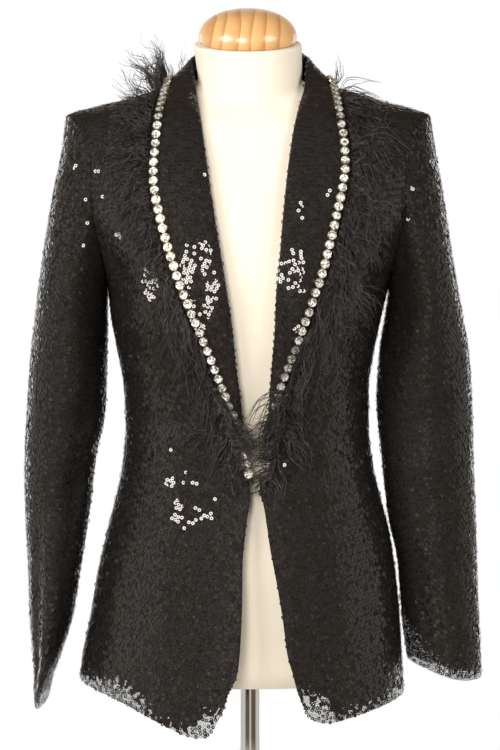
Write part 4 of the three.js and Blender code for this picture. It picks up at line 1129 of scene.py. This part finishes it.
# ---- feathers ----
def strands(side, seed):
    """The paths of the feather's loose strands, in plumes that sway and curl together."""
    random = np.random.default_rng(seed)
    style = FEATHER_STYLE[side]
    fine = np.linspace(*TRIM_ENDS, 400)
    weight = column(style, "density", fine, "share")
    plume_share = np.sort(random.choice(fine, PLUMES, p=weight / weight.sum()))
    inward = (plume_share < CROSSING_UP_TO) & (random.random(PLUMES) < CROSSING[side])
    count = PLUMES * PLUME_STRANDS
    plume = np.repeat(np.arange(PLUMES), PLUME_STRANDS)
    own = lambda spread, loose: random.normal(0, spread, PLUMES)[plume] + random.normal(0, loose, count)
    share = np.clip(plume_share[plume] + random.normal(0, 0.008, count), *TRIM_ENDS)
    along_trim = lambda rows, key: column(rows, key, share, "share")
    place, trim, up, out = edge_frames(side, share)
    out = np.where(inward[plume, None], -0.9 * out, out)
    tall = random.lognormal(0, 0.16, PLUMES)[plume] * random.uniform(0.45, 1.1, count)
    length = along_trim(FEATHER, "reach") * along_trim(style, "length") * tall
    root = np.where(inward[plume], CROSSING_IN, random.uniform(2, 9, count))
    lift = np.where(inward[plume], CROSSING_LIFT, 1)
    here = on_body(place + out * root[:, None], lift + random.uniform(0, 2.5, count))
    fan = along_trim(style, "fan")
    rise = np.maximum(0.05, along_trim(style, "rise") * (1 + own(0.4, 0.25)))
    lean = along_trim(style, "lean") + own(1, 0.2) * fan
    out = out * (1 + own(0.5, 0.1) * fan)[:, None]
    upright = np.maximum(rise - 1, 0)[:, None] * [0, 0, 1]
    first = unit(out + up * np.minimum(rise, 1)[:, None] + upright + trim * lean[:, None])
    bend = random.choice([-0.5, 1], PLUMES, p=[0.25, 0.75])[plume]  # a quarter of the plumes curl back
    curl = along_trim(style, "curl") * (bend + own(0.4, 0.3))
    phase, wave = own(2, 0.4), 0.75 + own(0.25, 0.1)
    turns = random.uniform(0.9, 2, PLUMES)[plume]
    across = unit(np.cross(up, first))
    step = (length / STRAND_STEPS)[:, None]
    paths = [here]
    for k in range(STRAND_STEPS):
        t = (k + 0.5) / STRAND_STEPS
        sideways = wave * np.sin(2 * np.pi * turns * t + phase) - side * curl * t**1.3
        sag = 0.5 * t * (1 - np.minimum(rise, 1)) + 0.5 * t * t
        way = unit(first + across * sideways[:, None] - np.array([0, 0, 1]) * sag[:, None])
        here = lifted(here + way * step, lift + 0.3 * k)
        paths.append(here)
    return np.stack(paths, 1), random


def lifted(points, least):
    """Points that have come too near to the cloth, or gone into it, moved out to a least height over it."""
    height, normal = height_over_body(points, 1e-3)
    push = np.clip(least - height, 0, 12) * (points[:, 2] < NECK_Z - 4)
    return points + normal * push[:, None]


def feather_piece(name, side, seed):
    """Flat tapered blades along the strands, each turned its own way."""
    paths, random = strands(side, seed)
    count, steps = paths.shape[:2]
    forward = unit(way_along(paths, 1))
    face = random.normal(0, 1, (count, 1, 3))
    across = unit(np.cross(forward, face))
    width = BLADE["root"] * random.uniform(0.6, 1.2, count)
    taper = lerp(1, BLADE["tip"], np.linspace(0, 1, steps) ** 1.3)
    half = across * (width[:, None] * taper[None] / 2)[..., None]
    points = np.stack([paths - half, paths + half], 2).reshape(-1, 3)
    left, right = np.moveaxis(np.arange(count * steps * 2).reshape(count, steps, 2), -1, 0)
    faces = quads(left[:, :-1], right[:, :-1], right[:, 1:], left[:, 1:])
    return dress(new_object(name, points, faces), ostrich)


# ---- materials ----
def linear(hex_colour):
    """The linear colour of an sRGB hex value."""
    parts = [int(hex_colour[i : i + 2], 16) / 255 for i in (0, 2, 4)]
    return tuple(p / 12.92 if p <= 0.04045 else ((p + 0.055) / 1.055) ** 2.4 for p in parts) + (1.0,)


def add(tree, kind, inputs=None, **settings):
    """Adds a shader node with its settings; an input is a value, or another node's output to link to it."""
    made = tree.nodes.new("ShaderNode" + kind)
    for key, value in settings.items():
        setattr(made, key, value)
    for key, value in (inputs or {}).items():
        if isinstance(value, bpy.types.NodeSocket):
            tree.links.new(value, made.inputs[key])
        else:
            made.inputs[key].default_value = value
    return made


def new_material(name, **inputs):
    """A material, its tree and its shader; inputs are the shader's values that are the same all over."""
    material = bpy.data.materials.new(name)
    material.use_nodes = True
    tree = material.node_tree
    shader = tree.nodes["Principled BSDF"]
    for key, value in inputs.items():
        shader.inputs[key.replace("_", " ")].default_value = value
    return material, tree, shader


def per_mm(length):
    """A texture's scale that gives features of a length in millimetres, on coordinates in metres."""
    return 1000 / length


def worn_and_painted_light(name, grain, detail, roughness=None, tints=None, between=(0, 1), **inputs):
    """A material with wear of one grain in millimetres, which sets its roughness and its colour.

    The colour goes from one tint to the other where the noise is between two values. The noise stands for
    wear. In the foil and the down, its tints also paint light: painted dark reflections and painted sheen.
    """
    material, tree, shader = new_material(name, **inputs)
    place = add(tree, "TexCoord").outputs["Object"]
    wear_and_painted_light = add(tree, "TexNoise", {"Vector": place, "Scale": per_mm(grain), "Detail": detail}).outputs["Fac"]
    if roughness:
        low, high = roughness
        span = {"Value": wear_and_painted_light, "From Min": 0.3, "From Max": 0.7, "To Min": low, "To Max": high}
        tree.links.new(add(tree, "MapRange", span).outputs["Result"], shader.inputs["Roughness"])
    if tints:
        start, end = between
        share = add(tree, "MapRange", {"Value": wear_and_painted_light, "From Min": start, "From Max": end}).outputs["Result"]
        low, high = map(linear, tints)
        tint = add(tree, "Mix", {"Factor": share, "A": low, "B": high}, data_type="RGBA")
        tree.links.new(tint.outputs["Result"], shader.inputs["Base Color"])
    return material


# Black polyester film, punched into sequins: glossy, with light scuffs that spread its highlights.
sequin_film = worn_and_painted_light(
    "black_polyester_film", 2, 3.0, (0.09, 0.24), ("0a0807", "2a2521"), (0.3, 0.7),
    IOR=1.6, Specular_Tint=linear("fffaf4"),
)

# Cut crystal glass: clear and bright, with the faintest haze from handling. Three quarters of the light
# goes straight through it to the foil.
crystal_glass = worn_and_painted_light(
    "cut_crystal_glass", 2, 2.0, (0.0, 0.05),
    Base_Color=linear("fdfcf8"), IOR=1.56, Transmission_Weight=1.0, Alpha=0.25,
)

# Silver lacquer behind each crystal, metal flake in a white binder: it throws the light back out. Its dark
# patches are painted reflections, standing in for the dark marks of the crystals' facets.
silver_foil = worn_and_painted_light(
    "silver_lacquer", 2, 1.0, (0.3, 0.55), ("5a564c", "fffef9"), (0.3533, 0.62), Metallic=0.4
)

# Antique gold plating on stamped brass cups: olive-brown, with brighter patches where it is rubbed.
antique_gold = worn_and_painted_light("antique_gold_plating", 3, 4.0, (0.22, 0.45), ("5a5439", "a89f7a"), Metallic=1.0)

# Dyed ostrich down: soft and brown-black, with a weak, broad shine. It is browner and lighter in places:
# partly the dye's uneven tone, and partly painted sheen for strands that catch the light.
ostrich = worn_and_painted_light(
    "dyed_ostrich_down", 4, 3.0, tints=("0b0908", "4a3c37"), between=(0.48, 0.72), Roughness=0.7, IOR=1.55
)

# Black lacquered spring wire of the hook and eye: smooth, with tiny chips that dull it.
lacquered_wire = worn_and_painted_light("black_lacquered_wire", 1, 3.0, (0.2, 0.5), Base_Color=linear("161617"), IOR=1.5)

# Chrome plate on steel: bright, with the faint cloudiness of wiped metal.
chrome = worn_and_painted_light("chrome_plated_steel", 25, 4.0, (0.04, 0.14), Base_Color=linear("d9dadb"), Metallic=1.0)

# The studio floor: matt white board.
floor_board = worn_and_painted_light("matt_white_board", 900, 2.0, tints=("f3f2f0", "f8f7f5"), Roughness=0.8, IOR=1.45)

# Black nylon tulle: fine hexagonal net, warm black and matt. It is backed down to a little above its hems,
# to the second UV map's zero; below that it is open between its threads, so that specks of light come
# through. Its 0.8 mm holes are drawn as uneven cells of 1.3 mm, to show at all.
TULLE_HOLE = 1.3
TULLE_THREAD = 0.11  # half a thread's width, as a share of a hole
TULLE_WANDER = 0.06  # how far the backing's edge wanders up and down, in metres for the noise's whole range
TULLE_LEVEL = 0.027  # the wandering at which the edge lies where the UV map has it, near the noise's middle
tulle, tree, shader = new_material("black_nylon_tulle", Roughness=0.8, IOR=1.53, Specular_IOR_Level=0.25)
flat = add(tree, "TexCoord").outputs["UV"]
hole = add(
    tree, "TexVoronoi", {"Vector": flat, "Scale": per_mm(TULLE_HOLE)},
    feature="DISTANCE_TO_EDGE", voronoi_dimensions="2D",
)
thread = add(tree, "Math", {0: hole.outputs["Distance"], 1: TULLE_THREAD}, operation="LESS_THAN")
wander = add(tree, "TexNoise", {"Vector": flat, "Scale": per_mm(6), "Detail": 1.0}).outputs["Fac"]
edge = add(tree, "UVMap", uv_map="Lining").outputs["UV"]
above = add(tree, "SeparateXYZ", {"Vector": edge}).outputs["X"]
uneven = add(tree, "Math", {0: wander, 1: TULLE_WANDER, 2: above}, operation="MULTIPLY_ADD")
backed = add(tree, "Math", {0: uneven.outputs[0], 1: TULLE_LEVEL}, operation="GREATER_THAN")
solid = add(tree, "Math", {0: thread.outputs[0], 1: backed.outputs[0]}, operation="MAXIMUM")
tree.links.new(solid.outputs[0], shader.inputs["Alpha"])
dye = add(tree, "TexNoise", {"Vector": flat, "Scale": per_mm(30), "Detail": 3.0}).outputs["Fac"]
dyed = add(tree, "Mix", {"Factor": dye, "A": linear("0e0c0b"), "B": linear("191614")}, data_type="RGBA")
tree.links.new(dyed.outputs["Result"], shader.inputs["Base Color"])

# Cream cotton jersey, stretched smooth: matt, with fine knitted wales up and down. They are 0.7 mm
# apart, and drawn at 1.6 mm to show at all.
jersey, tree, shader = new_material("cream_cotton_jersey", Roughness=0.9, IOR=1.5, Sheen_Weight=0.15)
place = add(tree, "TexCoord").outputs["Object"]
stretched = add(tree, "Mapping", {"Vector": place, "Scale": (1, 1, 0.22)}).outputs["Vector"]
wales = add(tree, "TexNoise", {"Vector": stretched, "Scale": per_mm(1.6), "Detail": 2.0}).outputs["Fac"]
slub = add(tree, "TexNoise", {"Vector": stretched, "Scale": per_mm(22), "Detail": 3.0}).outputs["Fac"]
yarn = add(tree, "Mix", {"Factor": slub, "A": linear("e1d6c2"), "B": linear("ebe2d1")}, data_type="RGBA")
tree.links.new(yarn.outputs["Result"], shader.inputs["Base Color"])
relief = add(tree, "Bump", {"Height": wales, "Strength": 0.25, "Distance": 0.0003})
tree.links.new(relief.outputs["Normal"], shader.inputs["Normal"])

# Varnished pine, turned: pale yellow wood between darker orange late-wood lines, about 14 mm apart, which
# stand upright over the cap. A clear varnish gives it its highlights.
LATE_WOOD_APART = 14.137
BANDS_IN_ONE = 20 / (2 * math.pi)  # a wave texture's bands in each unit of length, at a scale of one
pine, tree, shader = new_material("varnished_pine", IOR=1.5, Coat_Weight=0.6, Coat_Roughness=0.15)
place = add(tree, "TexCoord").outputs["Object"]
upright = add(
    tree, "Mapping", {"Vector": place, "Rotation": (0, -0.22, 0), "Scale": (1, 0.35, 0.3)}
).outputs["Vector"]
rings = add(
    tree, "TexWave",
    {"Vector": upright, "Scale": per_mm(LATE_WOOD_APART) / BANDS_IN_ONE, "Distortion": 5.0, "Detail": 2.0,
     "Detail Scale": 1.5},
    wave_type="BANDS", bands_direction="X", wave_profile="SAW",
)
late = add(tree, "Math", {0: rings.outputs["Fac"], 1: 2.6}, operation="POWER").outputs[0]
grain = add(tree, "TexNoise", {"Vector": upright, "Scale": per_mm(1.2), "Detail": 3.0}).outputs["Fac"]
layers = [
    add(tree, "Mix", {"Factor": share, "A": linear(low), "B": linear(high)}, data_type="RGBA")
    for share, low, high in ((late, "e2b276", "ad6c30"), (grain, "c28b4c", "e8c48f"))
]
lines, pores = (layer.outputs["Result"] for layer in layers)
wood = add(tree, "Mix", {"Factor": 0.25, "A": lines, "B": pores}, data_type="RGBA")
tree.links.new(wood.outputs["Result"], shader.inputs["Base Color"])
waver = add(tree, "TexNoise", {"Vector": upright, "Scale": per_mm(18), "Detail": 2.0}).outputs["Fac"]
varnish = add(
    tree, "MapRange", {"Value": waver, "From Min": 0.3, "From Max": 0.7, "To Min": 0.3, "To Max": 0.42}
)
tree.links.new(varnish.outputs["Result"], shader.inputs["Roughness"])


# ---- lights ----
camera_place = np.array(camera.location) * 1000


def soft_light(name, place, towards, width, watts, colour="ffffff", tall=None):
    lamp = bpy.data.lights.new(name, "AREA")
    lamp.shape, lamp.size, lamp.energy = "RECTANGLE" if tall else "DISK", width / 1000, watts
    lamp.size_y = (tall or width) / 1000
    lamp.color = linear(colour)[:3]
    made = bpy.data.objects.new(name, lamp)
    bpy.context.scene.collection.objects.link(made)
    made.location = np.array(place) / 1000
    way = Vector(towards) - Vector(place)
    made.rotation_euler = way.to_track_quat("-Z", "Y").to_euler()


key_place = np.array([-600.0, -2400.0, 1080.0])
left_place, right_place = np.array([-2200.0, -1800.0, 1500.0]), np.array([2200.0, -1800.0, 1500.0])
soft_light("key", key_place, (0, 0, 480), 900, 43, "fffcf8")
soft_light("left_softbox", left_place, (0, 0, 350), 1500, 66)
soft_light("right_softbox", right_place, (0, 0, 350), 1500, 46)
soft_light("left_rim", (-1700, 2000, 600), (0, 0, 600), 350, 6, tall=1900)
soft_light("right_rim", (1700, 2000, 600), (0, 0, 600), 350, 6, tall=1900)

# How far the sequins lie off each light's mirror angle, except where the cloth glints.
GLARE = [(left_place, 0.25), (right_place, 0.25), (key_place, 0.22)]

# The sky is white behind and below the garment, and dim and warm in front of it and over it, as in a
# studio with a lit backdrop. Pale screens stand round it at the camera's height, with gaps between them.
SKY = {"tilt": -0.7, "from": 0.05, "to": 0.85, "dim": 0.16, "full": 1.0}
SCREENS = {"turn": 6.5, "shift": 1.2, "low": 0.22, "high": 0.34, "bright": 0.8}
world = bpy.data.worlds.new("studio")
bpy.context.scene.world = world
world.use_nodes = True
tree = world.node_tree
backdrop = tree.nodes["Background"]
place = add(tree, "TexCoord").outputs["Generated"]
way = add(tree, "SeparateXYZ", {"Vector": place}).outputs
behind = add(tree, "Math", {0: way["Z"], 1: SKY["tilt"], 2: way["Y"]}, operation="MULTIPLY_ADD")
sky = add(
    tree, "MapRange",
    {"Value": behind.outputs[0], "From Min": SKY["from"], "From Max": SKY["to"], "To Min": SKY["dim"],
     "To Max": SKY["full"]},
    interpolation_type="SMOOTHSTEP",
)
turn = add(tree, "Math", {0: way["X"], 1: SCREENS["turn"], 2: SCREENS["shift"]}, operation="MULTIPLY_ADD")
gaps = add(tree, "Math", {0: turn.outputs[0]}, operation="SINE")
height = add(tree, "Math", {0: way["Z"]}, operation="ABSOLUTE")
standing = add(
    tree, "MapRange",
    {"Value": height.outputs[0], "From Min": SCREENS["low"], "From Max": SCREENS["high"],
     "To Min": SCREENS["bright"], "To Max": 0.0},
)
screen = add(tree, "Math", {0: gaps.outputs[0], 1: standing.outputs["Result"]}, operation="MULTIPLY")
level = add(tree, "Math", {0: sky.outputs["Result"], 1: screen.outputs[0]}, operation="MAXIMUM")
seen = add(tree, "LightPath").outputs["Is Camera Ray"]
bright = add(tree, "Math", {0: level.outputs[0], 1: seen}, operation="MAXIMUM").outputs[0]
tree.links.new(bright, backdrop.inputs["Strength"])
warmth = add(tree, "Mix", {"Factor": bright, "A": linear("f4d3ab"), "B": linear("ffffff")}, data_type="RGBA")
tree.links.new(warmth.outputs["Result"], backdrop.inputs["Color"])
bpy.context.scene.view_settings.view_transform = "Standard"


# ---- pieces modelled by hand, once each ----
def deselect_all():
    for made in bpy.data.objects:
        made.select_set(False)


def edit(made):
    bpy.context.view_layer.objects.active = made
    bpy.ops.object.mode_set(mode="EDIT")
    bpy.ops.mesh.select_all(action="SELECT")


def begun(primitive, **size):
    """A primitive, added with nothing else selected and opened for editing."""
    deselect_all()
    primitive(**size)
    made = bpy.context.object
    edit(made)
    return made


def draw_out(rise, share=1.0, level=0.0):
    """Draws what is selected up by a rise, and scales it to a share of its width."""
    bpy.ops.mesh.extrude_region_move(TRANSFORM_OT_translate={"value": (0, 0, rise / 1000)})
    if share != 1:
        bpy.ops.transform.resize(value=(share, share, 1), center_override=(0, 0, level / 1000))


def select_facing(made, way):
    """Selects the faces that look up (1) or down (-1)."""
    mesh = bmesh.from_edit_mesh(made.data)
    for face in mesh.faces:
        face.select_set(face.normal.z * way > 0.9)
    bmesh.update_edit_mesh(made.data)


def finished(made, name, smooth_angle=None):
    """Closes the edit with its faces pointing outwards, and its place in its mesh."""
    bpy.ops.mesh.select_all(action="SELECT")
    bpy.ops.mesh.normals_make_consistent(inside=False)
    bpy.ops.object.mode_set(mode="OBJECT")
    made.name = made.data.name = name
    bpy.ops.object.transform_apply(location=True, rotation=True, scale=True)
    if smooth_angle:
        bpy.ops.object.shade_smooth_by_angle(angle=math.radians(smooth_angle))
    made.select_set(False)
    return made


def turned(name, profile, sides, smooth_angle=40):
    """A turned piece: a disc drawn up and scaled from each radius and height of its profile to the next."""
    (radius, height), *rest = profile
    made = begun(
        bpy.ops.mesh.primitive_circle_add,
        vertices=sides, radius=radius / 1000, fill_type="NGON", location=(0, 0, height / 1000),
    )
    for next_radius, next_height in rest:
        draw_out(next_height - height, next_radius / radius, next_height)
        radius, height = next_radius, next_height
    return finished(made, name, smooth_angle)


def shape_of(made):
    """Takes a modelled object away and gives its points in millimetres, and its faces as triangles."""
    deselect_all()
    made.select_set(True)
    edit(made)
    bpy.ops.mesh.quads_convert_to_tris()
    bpy.ops.object.mode_set(mode="OBJECT")
    points = np.array([vertex.co for vertex in made.data.vertices]) * 1000
    faces = np.array([face.vertices for face in made.data.polygons])
    bpy.data.objects.remove(made)
    return points, faces


def bar(low, high, taper=1.0):
    """A small block, narrower at its top, added to what is being edited."""
    low, high = np.array(low) / 1000, np.array(high) / 1000
    bpy.ops.mesh.select_all(action="DESELECT")
    middle = (low + high) / 2
    bpy.ops.mesh.primitive_cube_add(size=1, location=tuple(middle), scale=tuple(high - low))
    if taper != 1:
        mesh = bmesh.from_edit_mesh(bpy.context.object.data)
        for vertex in mesh.verts:
            if vertex.select and vertex.co.z < middle[2]:
                vertex.select = False
        mesh.select_flush_mode()
        bpy.ops.transform.resize(value=(taper, taper, 1), center_override=(middle[0], middle[1], high[2]))


def sequin():
    """One sequin: a flat six-sided disc of film with a hole, its middle pressed in a little."""
    made = begun(
        bpy.ops.mesh.primitive_circle_add, vertices=6, radius=SEQUIN["radius"] / 1000, fill_type="NOTHING"
    )
    draw_out(-SEQUIN["cup"], SEQUIN["hole"] / SEQUIN["radius"])
    return shape_of(finished(made, "sequin"))


def crystal():
    """One crystal: a flat table, eight crown facets, a thin girdle and a blunt pavilion."""
    made = begun(
        bpy.ops.mesh.primitive_cone_add, vertices=8,
        radius1=STONE["radius"] / 1000, radius2=STONE["table"] / 1000, depth=STONE["crown"] / 1000,
        location=(0, 0, (STONE["girdle"] + STONE["crown"] / 2) / 1000),
    )
    select_facing(made, -1)
    draw_out(-STONE["girdle_edge"])
    draw_out(-STONE["pavilion"], STONE["culet"])
    return shape_of(finished(made, "crystal"))


def foil():
    """The lacquer behind a crystal: a faceted dish, open to the front."""
    low, high = FOIL["low"], STONE["girdle"] - FOIL["below_girdle"]
    made = begun(
        bpy.ops.mesh.primitive_cone_add, vertices=8,
        radius1=FOIL["foot"] / 1000, radius2=(STONE["radius"] - FOIL["inside"]) / 1000,
        depth=(high - low) / 1000, location=(0, 0, (high + low) / 2000),
    )
    select_facing(made, 1)
    bpy.ops.mesh.inset(thickness=FOIL["facet"] / 1000, depth=-FOIL["step"] / 1000)
    bpy.ops.mesh.poke(offset=-FOIL["step"] / 1000)
    return shape_of(finished(made, "foil"))


def cup():
    """One cup: a low dish with four prongs bent over the crystal, and the link to the next cup."""
    deep = STONE["girdle"] - CUP["below_girdle"]
    made = begun(
        bpy.ops.mesh.primitive_cylinder_add, vertices=12,
        radius=STONE["cup"] / 1000, depth=deep / 1000, location=(0, 0, (deep / 2 - CUP["sunk"]) / 1000),
    )
    select_facing(made, 1)
    bpy.ops.mesh.inset(thickness=CUP["wall"] / 1000)
    draw_out(-CUP["hollow"])
    half, tip = CUP["prong"] / 2, STONE["girdle"] + STONE["crown"] * 0.75
    for turn in (45, 135, 225, 315):
        x, y = ((STONE["cup"] - CUP["prong_in"]) * way(math.radians(turn)) for way in (math.cos, math.sin))
        bar((x - half, y - half, 0.8), (x + half, y + half, tip), taper=0.7)
    start, end = STONE["cup"] - CUP["wall"], STONE["pitch"] - STONE["cup"] + CUP["wall"]
    bar((start, -0.8, 0.2), (end, 0.8, 1.3))
    return shape_of(finished(made, "cup"))


sequin_shape, crystal_shape, foil_shape, cup_shape = sequin(), crystal(), foil(), cup()


# ---- sewing ----
def uncovered(spots, ways, cover):
    """Leaves out the places that the collar lies on, where cloth rubs on cloth."""
    tree = KDTree(len(cover))
    for i, point in enumerate(cover):
        tree.insert(point, i)
    tree.balance()
    apart = np.array([tree.find(spot)[2] for spot in spots])
    return spots[apart > COLLAR_COVER], ways[apart > COLLAR_COVER]


def sewn(name, cloth, lift, seed, hem=None, cover=None):
    """A cloth piece: its net, which stands for its solid, and the sequins sewn to it."""
    if hem is not None:
        cloth.line(LINING[name], hem)
    piece = dress(net(name, cloth, lift), tulle)
    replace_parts(piece, name)
    spots, ways = sequin_places(cloth)
    if cover is not None:
        spots, ways = uncovered(spots, ways, cover)
    set_sequins(name + "_sequins", spots, ways, seed)


collars = {}
for name, side in SIDES.items():
    points = collar_surface(side)(COLLAR_SHARES, np.linspace(0, 1, COLLAR_ROWS))
    collars[side] = Cloth(points, points - [0, 0, 400])
    sewn("collar_" + name, collars[side], COLLAR_NET_LIFT, 11 + side)

cover = np.concatenate([cloth.points.reshape(-1, 3)[::2] for cloth in collars.values()])
down, round_sleeve = np.linspace(0, 1, BODY_ROWS), np.linspace(0, 2 * np.pi, SLEEVE_COLUMNS, endpoint=False)
for name, side in SIDES.items():
    points = front_surface(side)(np.linspace(0, 1, FRONT_COLUMNS) ** 1.1, down)
    cloth = Cloth(points, points * [1, 1, 0])
    sewn("front_" + name, cloth, NET_LIFT, 21 + side, hem=0, cover=cover)
    points = sleeve_surface(side)(round_sleeve, np.linspace(0, 1, SLEEVE_ROWS))
    cloth = Cloth(points, points - points.mean(1, keepdims=True), ring=True)
    sewn("sleeve_" + name, cloth, NET_LIFT, 31 + side, hem=-1)
points = back_surface()(np.linspace(0, 3, BACK_COLUMNS), down)
sewn("back", Cloth(points, points * [1, 1, 0]), NET_LIFT, 41, hem=0, cover=cover)


# ---- crystal chain and feathers ----
def chain(name, side):
    """The stones of one side, each with its foil and its cup, sewn on a little askew."""
    point, trim, up, out = edge_frames(side, np.linspace(0.01, 0.985, CHAIN_STONES))
    seat = point - out * CHAIN_TO_EDGE + up * CHAIN_LIFT
    random = np.random.default_rng(51 + side)
    turn = random.normal(0, 0.05, CHAIN_STONES)[:, None]
    up = unit(up + random.normal(0, 0.06, (CHAIN_STONES, 3)))
    x = unit(trim * np.cos(turn) + out * np.sin(turn))
    x = unit(x - up * np.sum(x * up, -1, keepdims=True))
    y = np.cross(up, x)
    sewn_on = {
        "crystals_": (crystal_shape, "crystal", crystal_glass),
        "foils_": (foil_shape, "crystal", silver_foil),
        "cups_": (cup_shape, "chain_cup", antique_gold),
    }
    for kind, (shape, slot, material) in sewn_on.items():
        piece = dress(new_object(kind + name, *copies(shape, seat, x, y, up), smooth=False), material)
        if kind == "crystals_":
            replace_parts(piece, "crystal_chain_" + name)


for name, side in SIDES.items():
    chain(name, side)
for name, side in SIDES.items():
    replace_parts(feather_piece("feathers_" + name, side, 61 + side), "feather_trim_" + name)


# ---- dress form ----
def reach_of(way, wide, front, back, front_power=2, back_power=2):
    """The reach of a rounded section in each way from its middle."""
    ahead = way[:, 1] < 0
    deep, boxy = np.where(ahead, front, back), np.where(ahead, front_power, back_power)
    outside = lambda r: (np.abs(r * way[:, 0]) / wide) ** boxy + (r * way[:, 1] / deep) ** 2 > 1
    return reach(outside, np.zeros(len(way)), np.full(len(way), 400.0), 30)


def form_ring(z, way, wide, tilt=0.0):
    """A ring of the form's skin at one height, with the bust on its front; the neck's rings tilt."""
    p = way * wide[:, None]
    p[:, 1] += np.where(way[:, 1] < 0, way[:, 1] * bust(p[:, 0], z, FORM_BUST_HEIGHT), 0)
    return vec(p[:, 0] + NECK_LEAN * smoothstep(z, 866, NECK_TOP), p[:, 1], z + tilt * p[:, 1])


def shoulder_reach(z, way):
    """Over the arms the form follows the blazer a little lower, and the neck grows out of it."""
    above = z + FORM_DROP
    at = max(z, FORM_NECK["z"][0])
    neck = reach_of(way, *(column(FORM_NECK, key, at) for key in ("wide", "front", "back")))
    if above >= NECK_Z:
        return neck
    wide = min(FORM_ARM_HALF_WIDTH, column(BODY, "left", above) - FORM_DROP)
    shoulder = reach_of(
        way, wide, depth(True, above) - FORM_DROP, depth(False, above) - FORM_DROP,
        power(True, above), power(False, above),
    )
    return (shoulder**16 + neck**16) ** (1 / 16)


def form_torso():
    t = np.linspace(0, 2 * np.pi, FORM_COLUMNS, endpoint=False)
    way = unit(vec(np.cos(t), 0.7 * np.sin(t), 0))
    rings = [
        form_ring(row[0], way, reach_of(way, row[1], row[2], row[3], row[4], row[4]))
        for row in zip(*FORM.values())
    ]
    rings += [form_ring(z, way, shoulder_reach(z, way)) for z in FORM_SHOULDERS]
    rim = []
    for lift, inset in FORM_RIM:
        wide = reach_of(way, *(FORM_NECK[key][-1] - inset for key in ("wide", "front", "back")))
        rim.append(form_ring(NECK_TOP - FORM_RIM[-1][0] + lift, way, wide, math.tan(NECK_TILT)))
    rings = np.stack(rings + rim[:1])
    t = np.linspace(0, 1, 3 * len(rings) - 2)
    smooth = np.stack([spline(rings[:, k], t) for k in range(FORM_COLUMNS)], 1)
    return np.concatenate([smooth, rim[1:]])


def skin(name, rings):
    """A closed skin over rings of points, its two ends filled."""
    count, cols = rings.shape[:2]
    index = np.arange(count * cols).reshape(count, cols)
    around = closed(index)
    sides = quads(around[:-1, :-1], around[:-1, 1:], around[1:, 1:], around[1:, :-1]).tolist()
    ends = [index[0, ::-1].tolist(), index[-1].tolist()]
    mesh = bpy.data.meshes.new(name)
    mesh.from_pydata((rings.reshape(-1, 3) / 1000).tolist(), [], sides + ends)
    mesh.polygons.foreach_set("use_smooth", [True] * len(sides) + [False] * 2)
    mesh.validate()
    made = bpy.data.objects.new(name, mesh)
    bpy.context.scene.collection.objects.link(made)
    return made


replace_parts(dress(skin("form_jersey", form_torso()), jersey), "form_torso")

# The turned cap, leaning forward with the neck's top.
CAP_RADIUS, CAP_HEIGHT, CAP_WIDEST = 52.5, 36, 6
profile = [(CAP_RADIUS - 3, 0), (CAP_RADIUS - 1.6, 0.7), (CAP_RADIUS - 0.5, 2.4), (CAP_RADIUS, CAP_WIDEST)]
for a in map(math.radians, (8, 16, 24, 32, 40, 48, 56, 64, 72, 80, 86)):
    profile.append((CAP_RADIUS * math.cos(a) ** 0.85, CAP_WIDEST + (CAP_HEIGHT - CAP_WIDEST) * math.sin(a)))
cap = turned("form_cap", profile, 72, 60)
cap.rotation_euler = (NECK_TILT, 0, 0)
cap.location = (NECK_LEAN / 1000, 0, (NECK_TOP + PIECE_GAP) / 1000)
cap.select_set(True)
bpy.ops.object.transform_apply(location=True, rotation=True, scale=True)
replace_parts(dress(cap, pine), "form_neck_cap")

POLE_EDGE, POLE_END = 0.6, 60  # how far its rounding reaches in from each end, and the ring behind it
pole_foot, pole_head = BASE_HUB + PIECE_GAP, FORM_BOTTOM - PIECE_GAP
profile = [
    (POLE_RADIUS - POLE_EDGE, pole_foot), (POLE_RADIUS, pole_foot + POLE_EDGE),
    (POLE_RADIUS, pole_foot + POLE_END), (POLE_RADIUS, pole_head - POLE_END),
    (POLE_RADIUS, pole_head - POLE_EDGE), (POLE_RADIUS - POLE_EDGE, pole_head),
]
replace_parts(dress(turned("stand_pole", profile, 48), chrome), "form_pole")

profile = [
    (BASE_RADIUS - 1, 0), (BASE_RADIUS - 0.3, 0.3), (BASE_RADIUS, 1), (BASE_RADIUS, BASE_EDGE - 1),
    (BASE_RADIUS - 0.6, BASE_EDGE - 0.3), (BASE_RADIUS - 2, BASE_EDGE), (100, 7.7), (60, 9), (30, 10.4),
    (22, 11), (20.6, 11.3), (20, 12), (20, BASE_HUB - 1), (19.7, BASE_HUB - 0.3), (19, BASE_HUB),
]
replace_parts(dress(turned("stand_plate", profile, 96, 30), chrome), "form_base")

for name in ("hook", "eye"):
    paint(bpy.data.objects[name], lacquered_wire)

# ---- floor ----
floor = turned("floor", [(FLOOR_RADIUS, -18), (FLOOR_RADIUS, 0)], 96, 30)
paint(floor, floor_board)
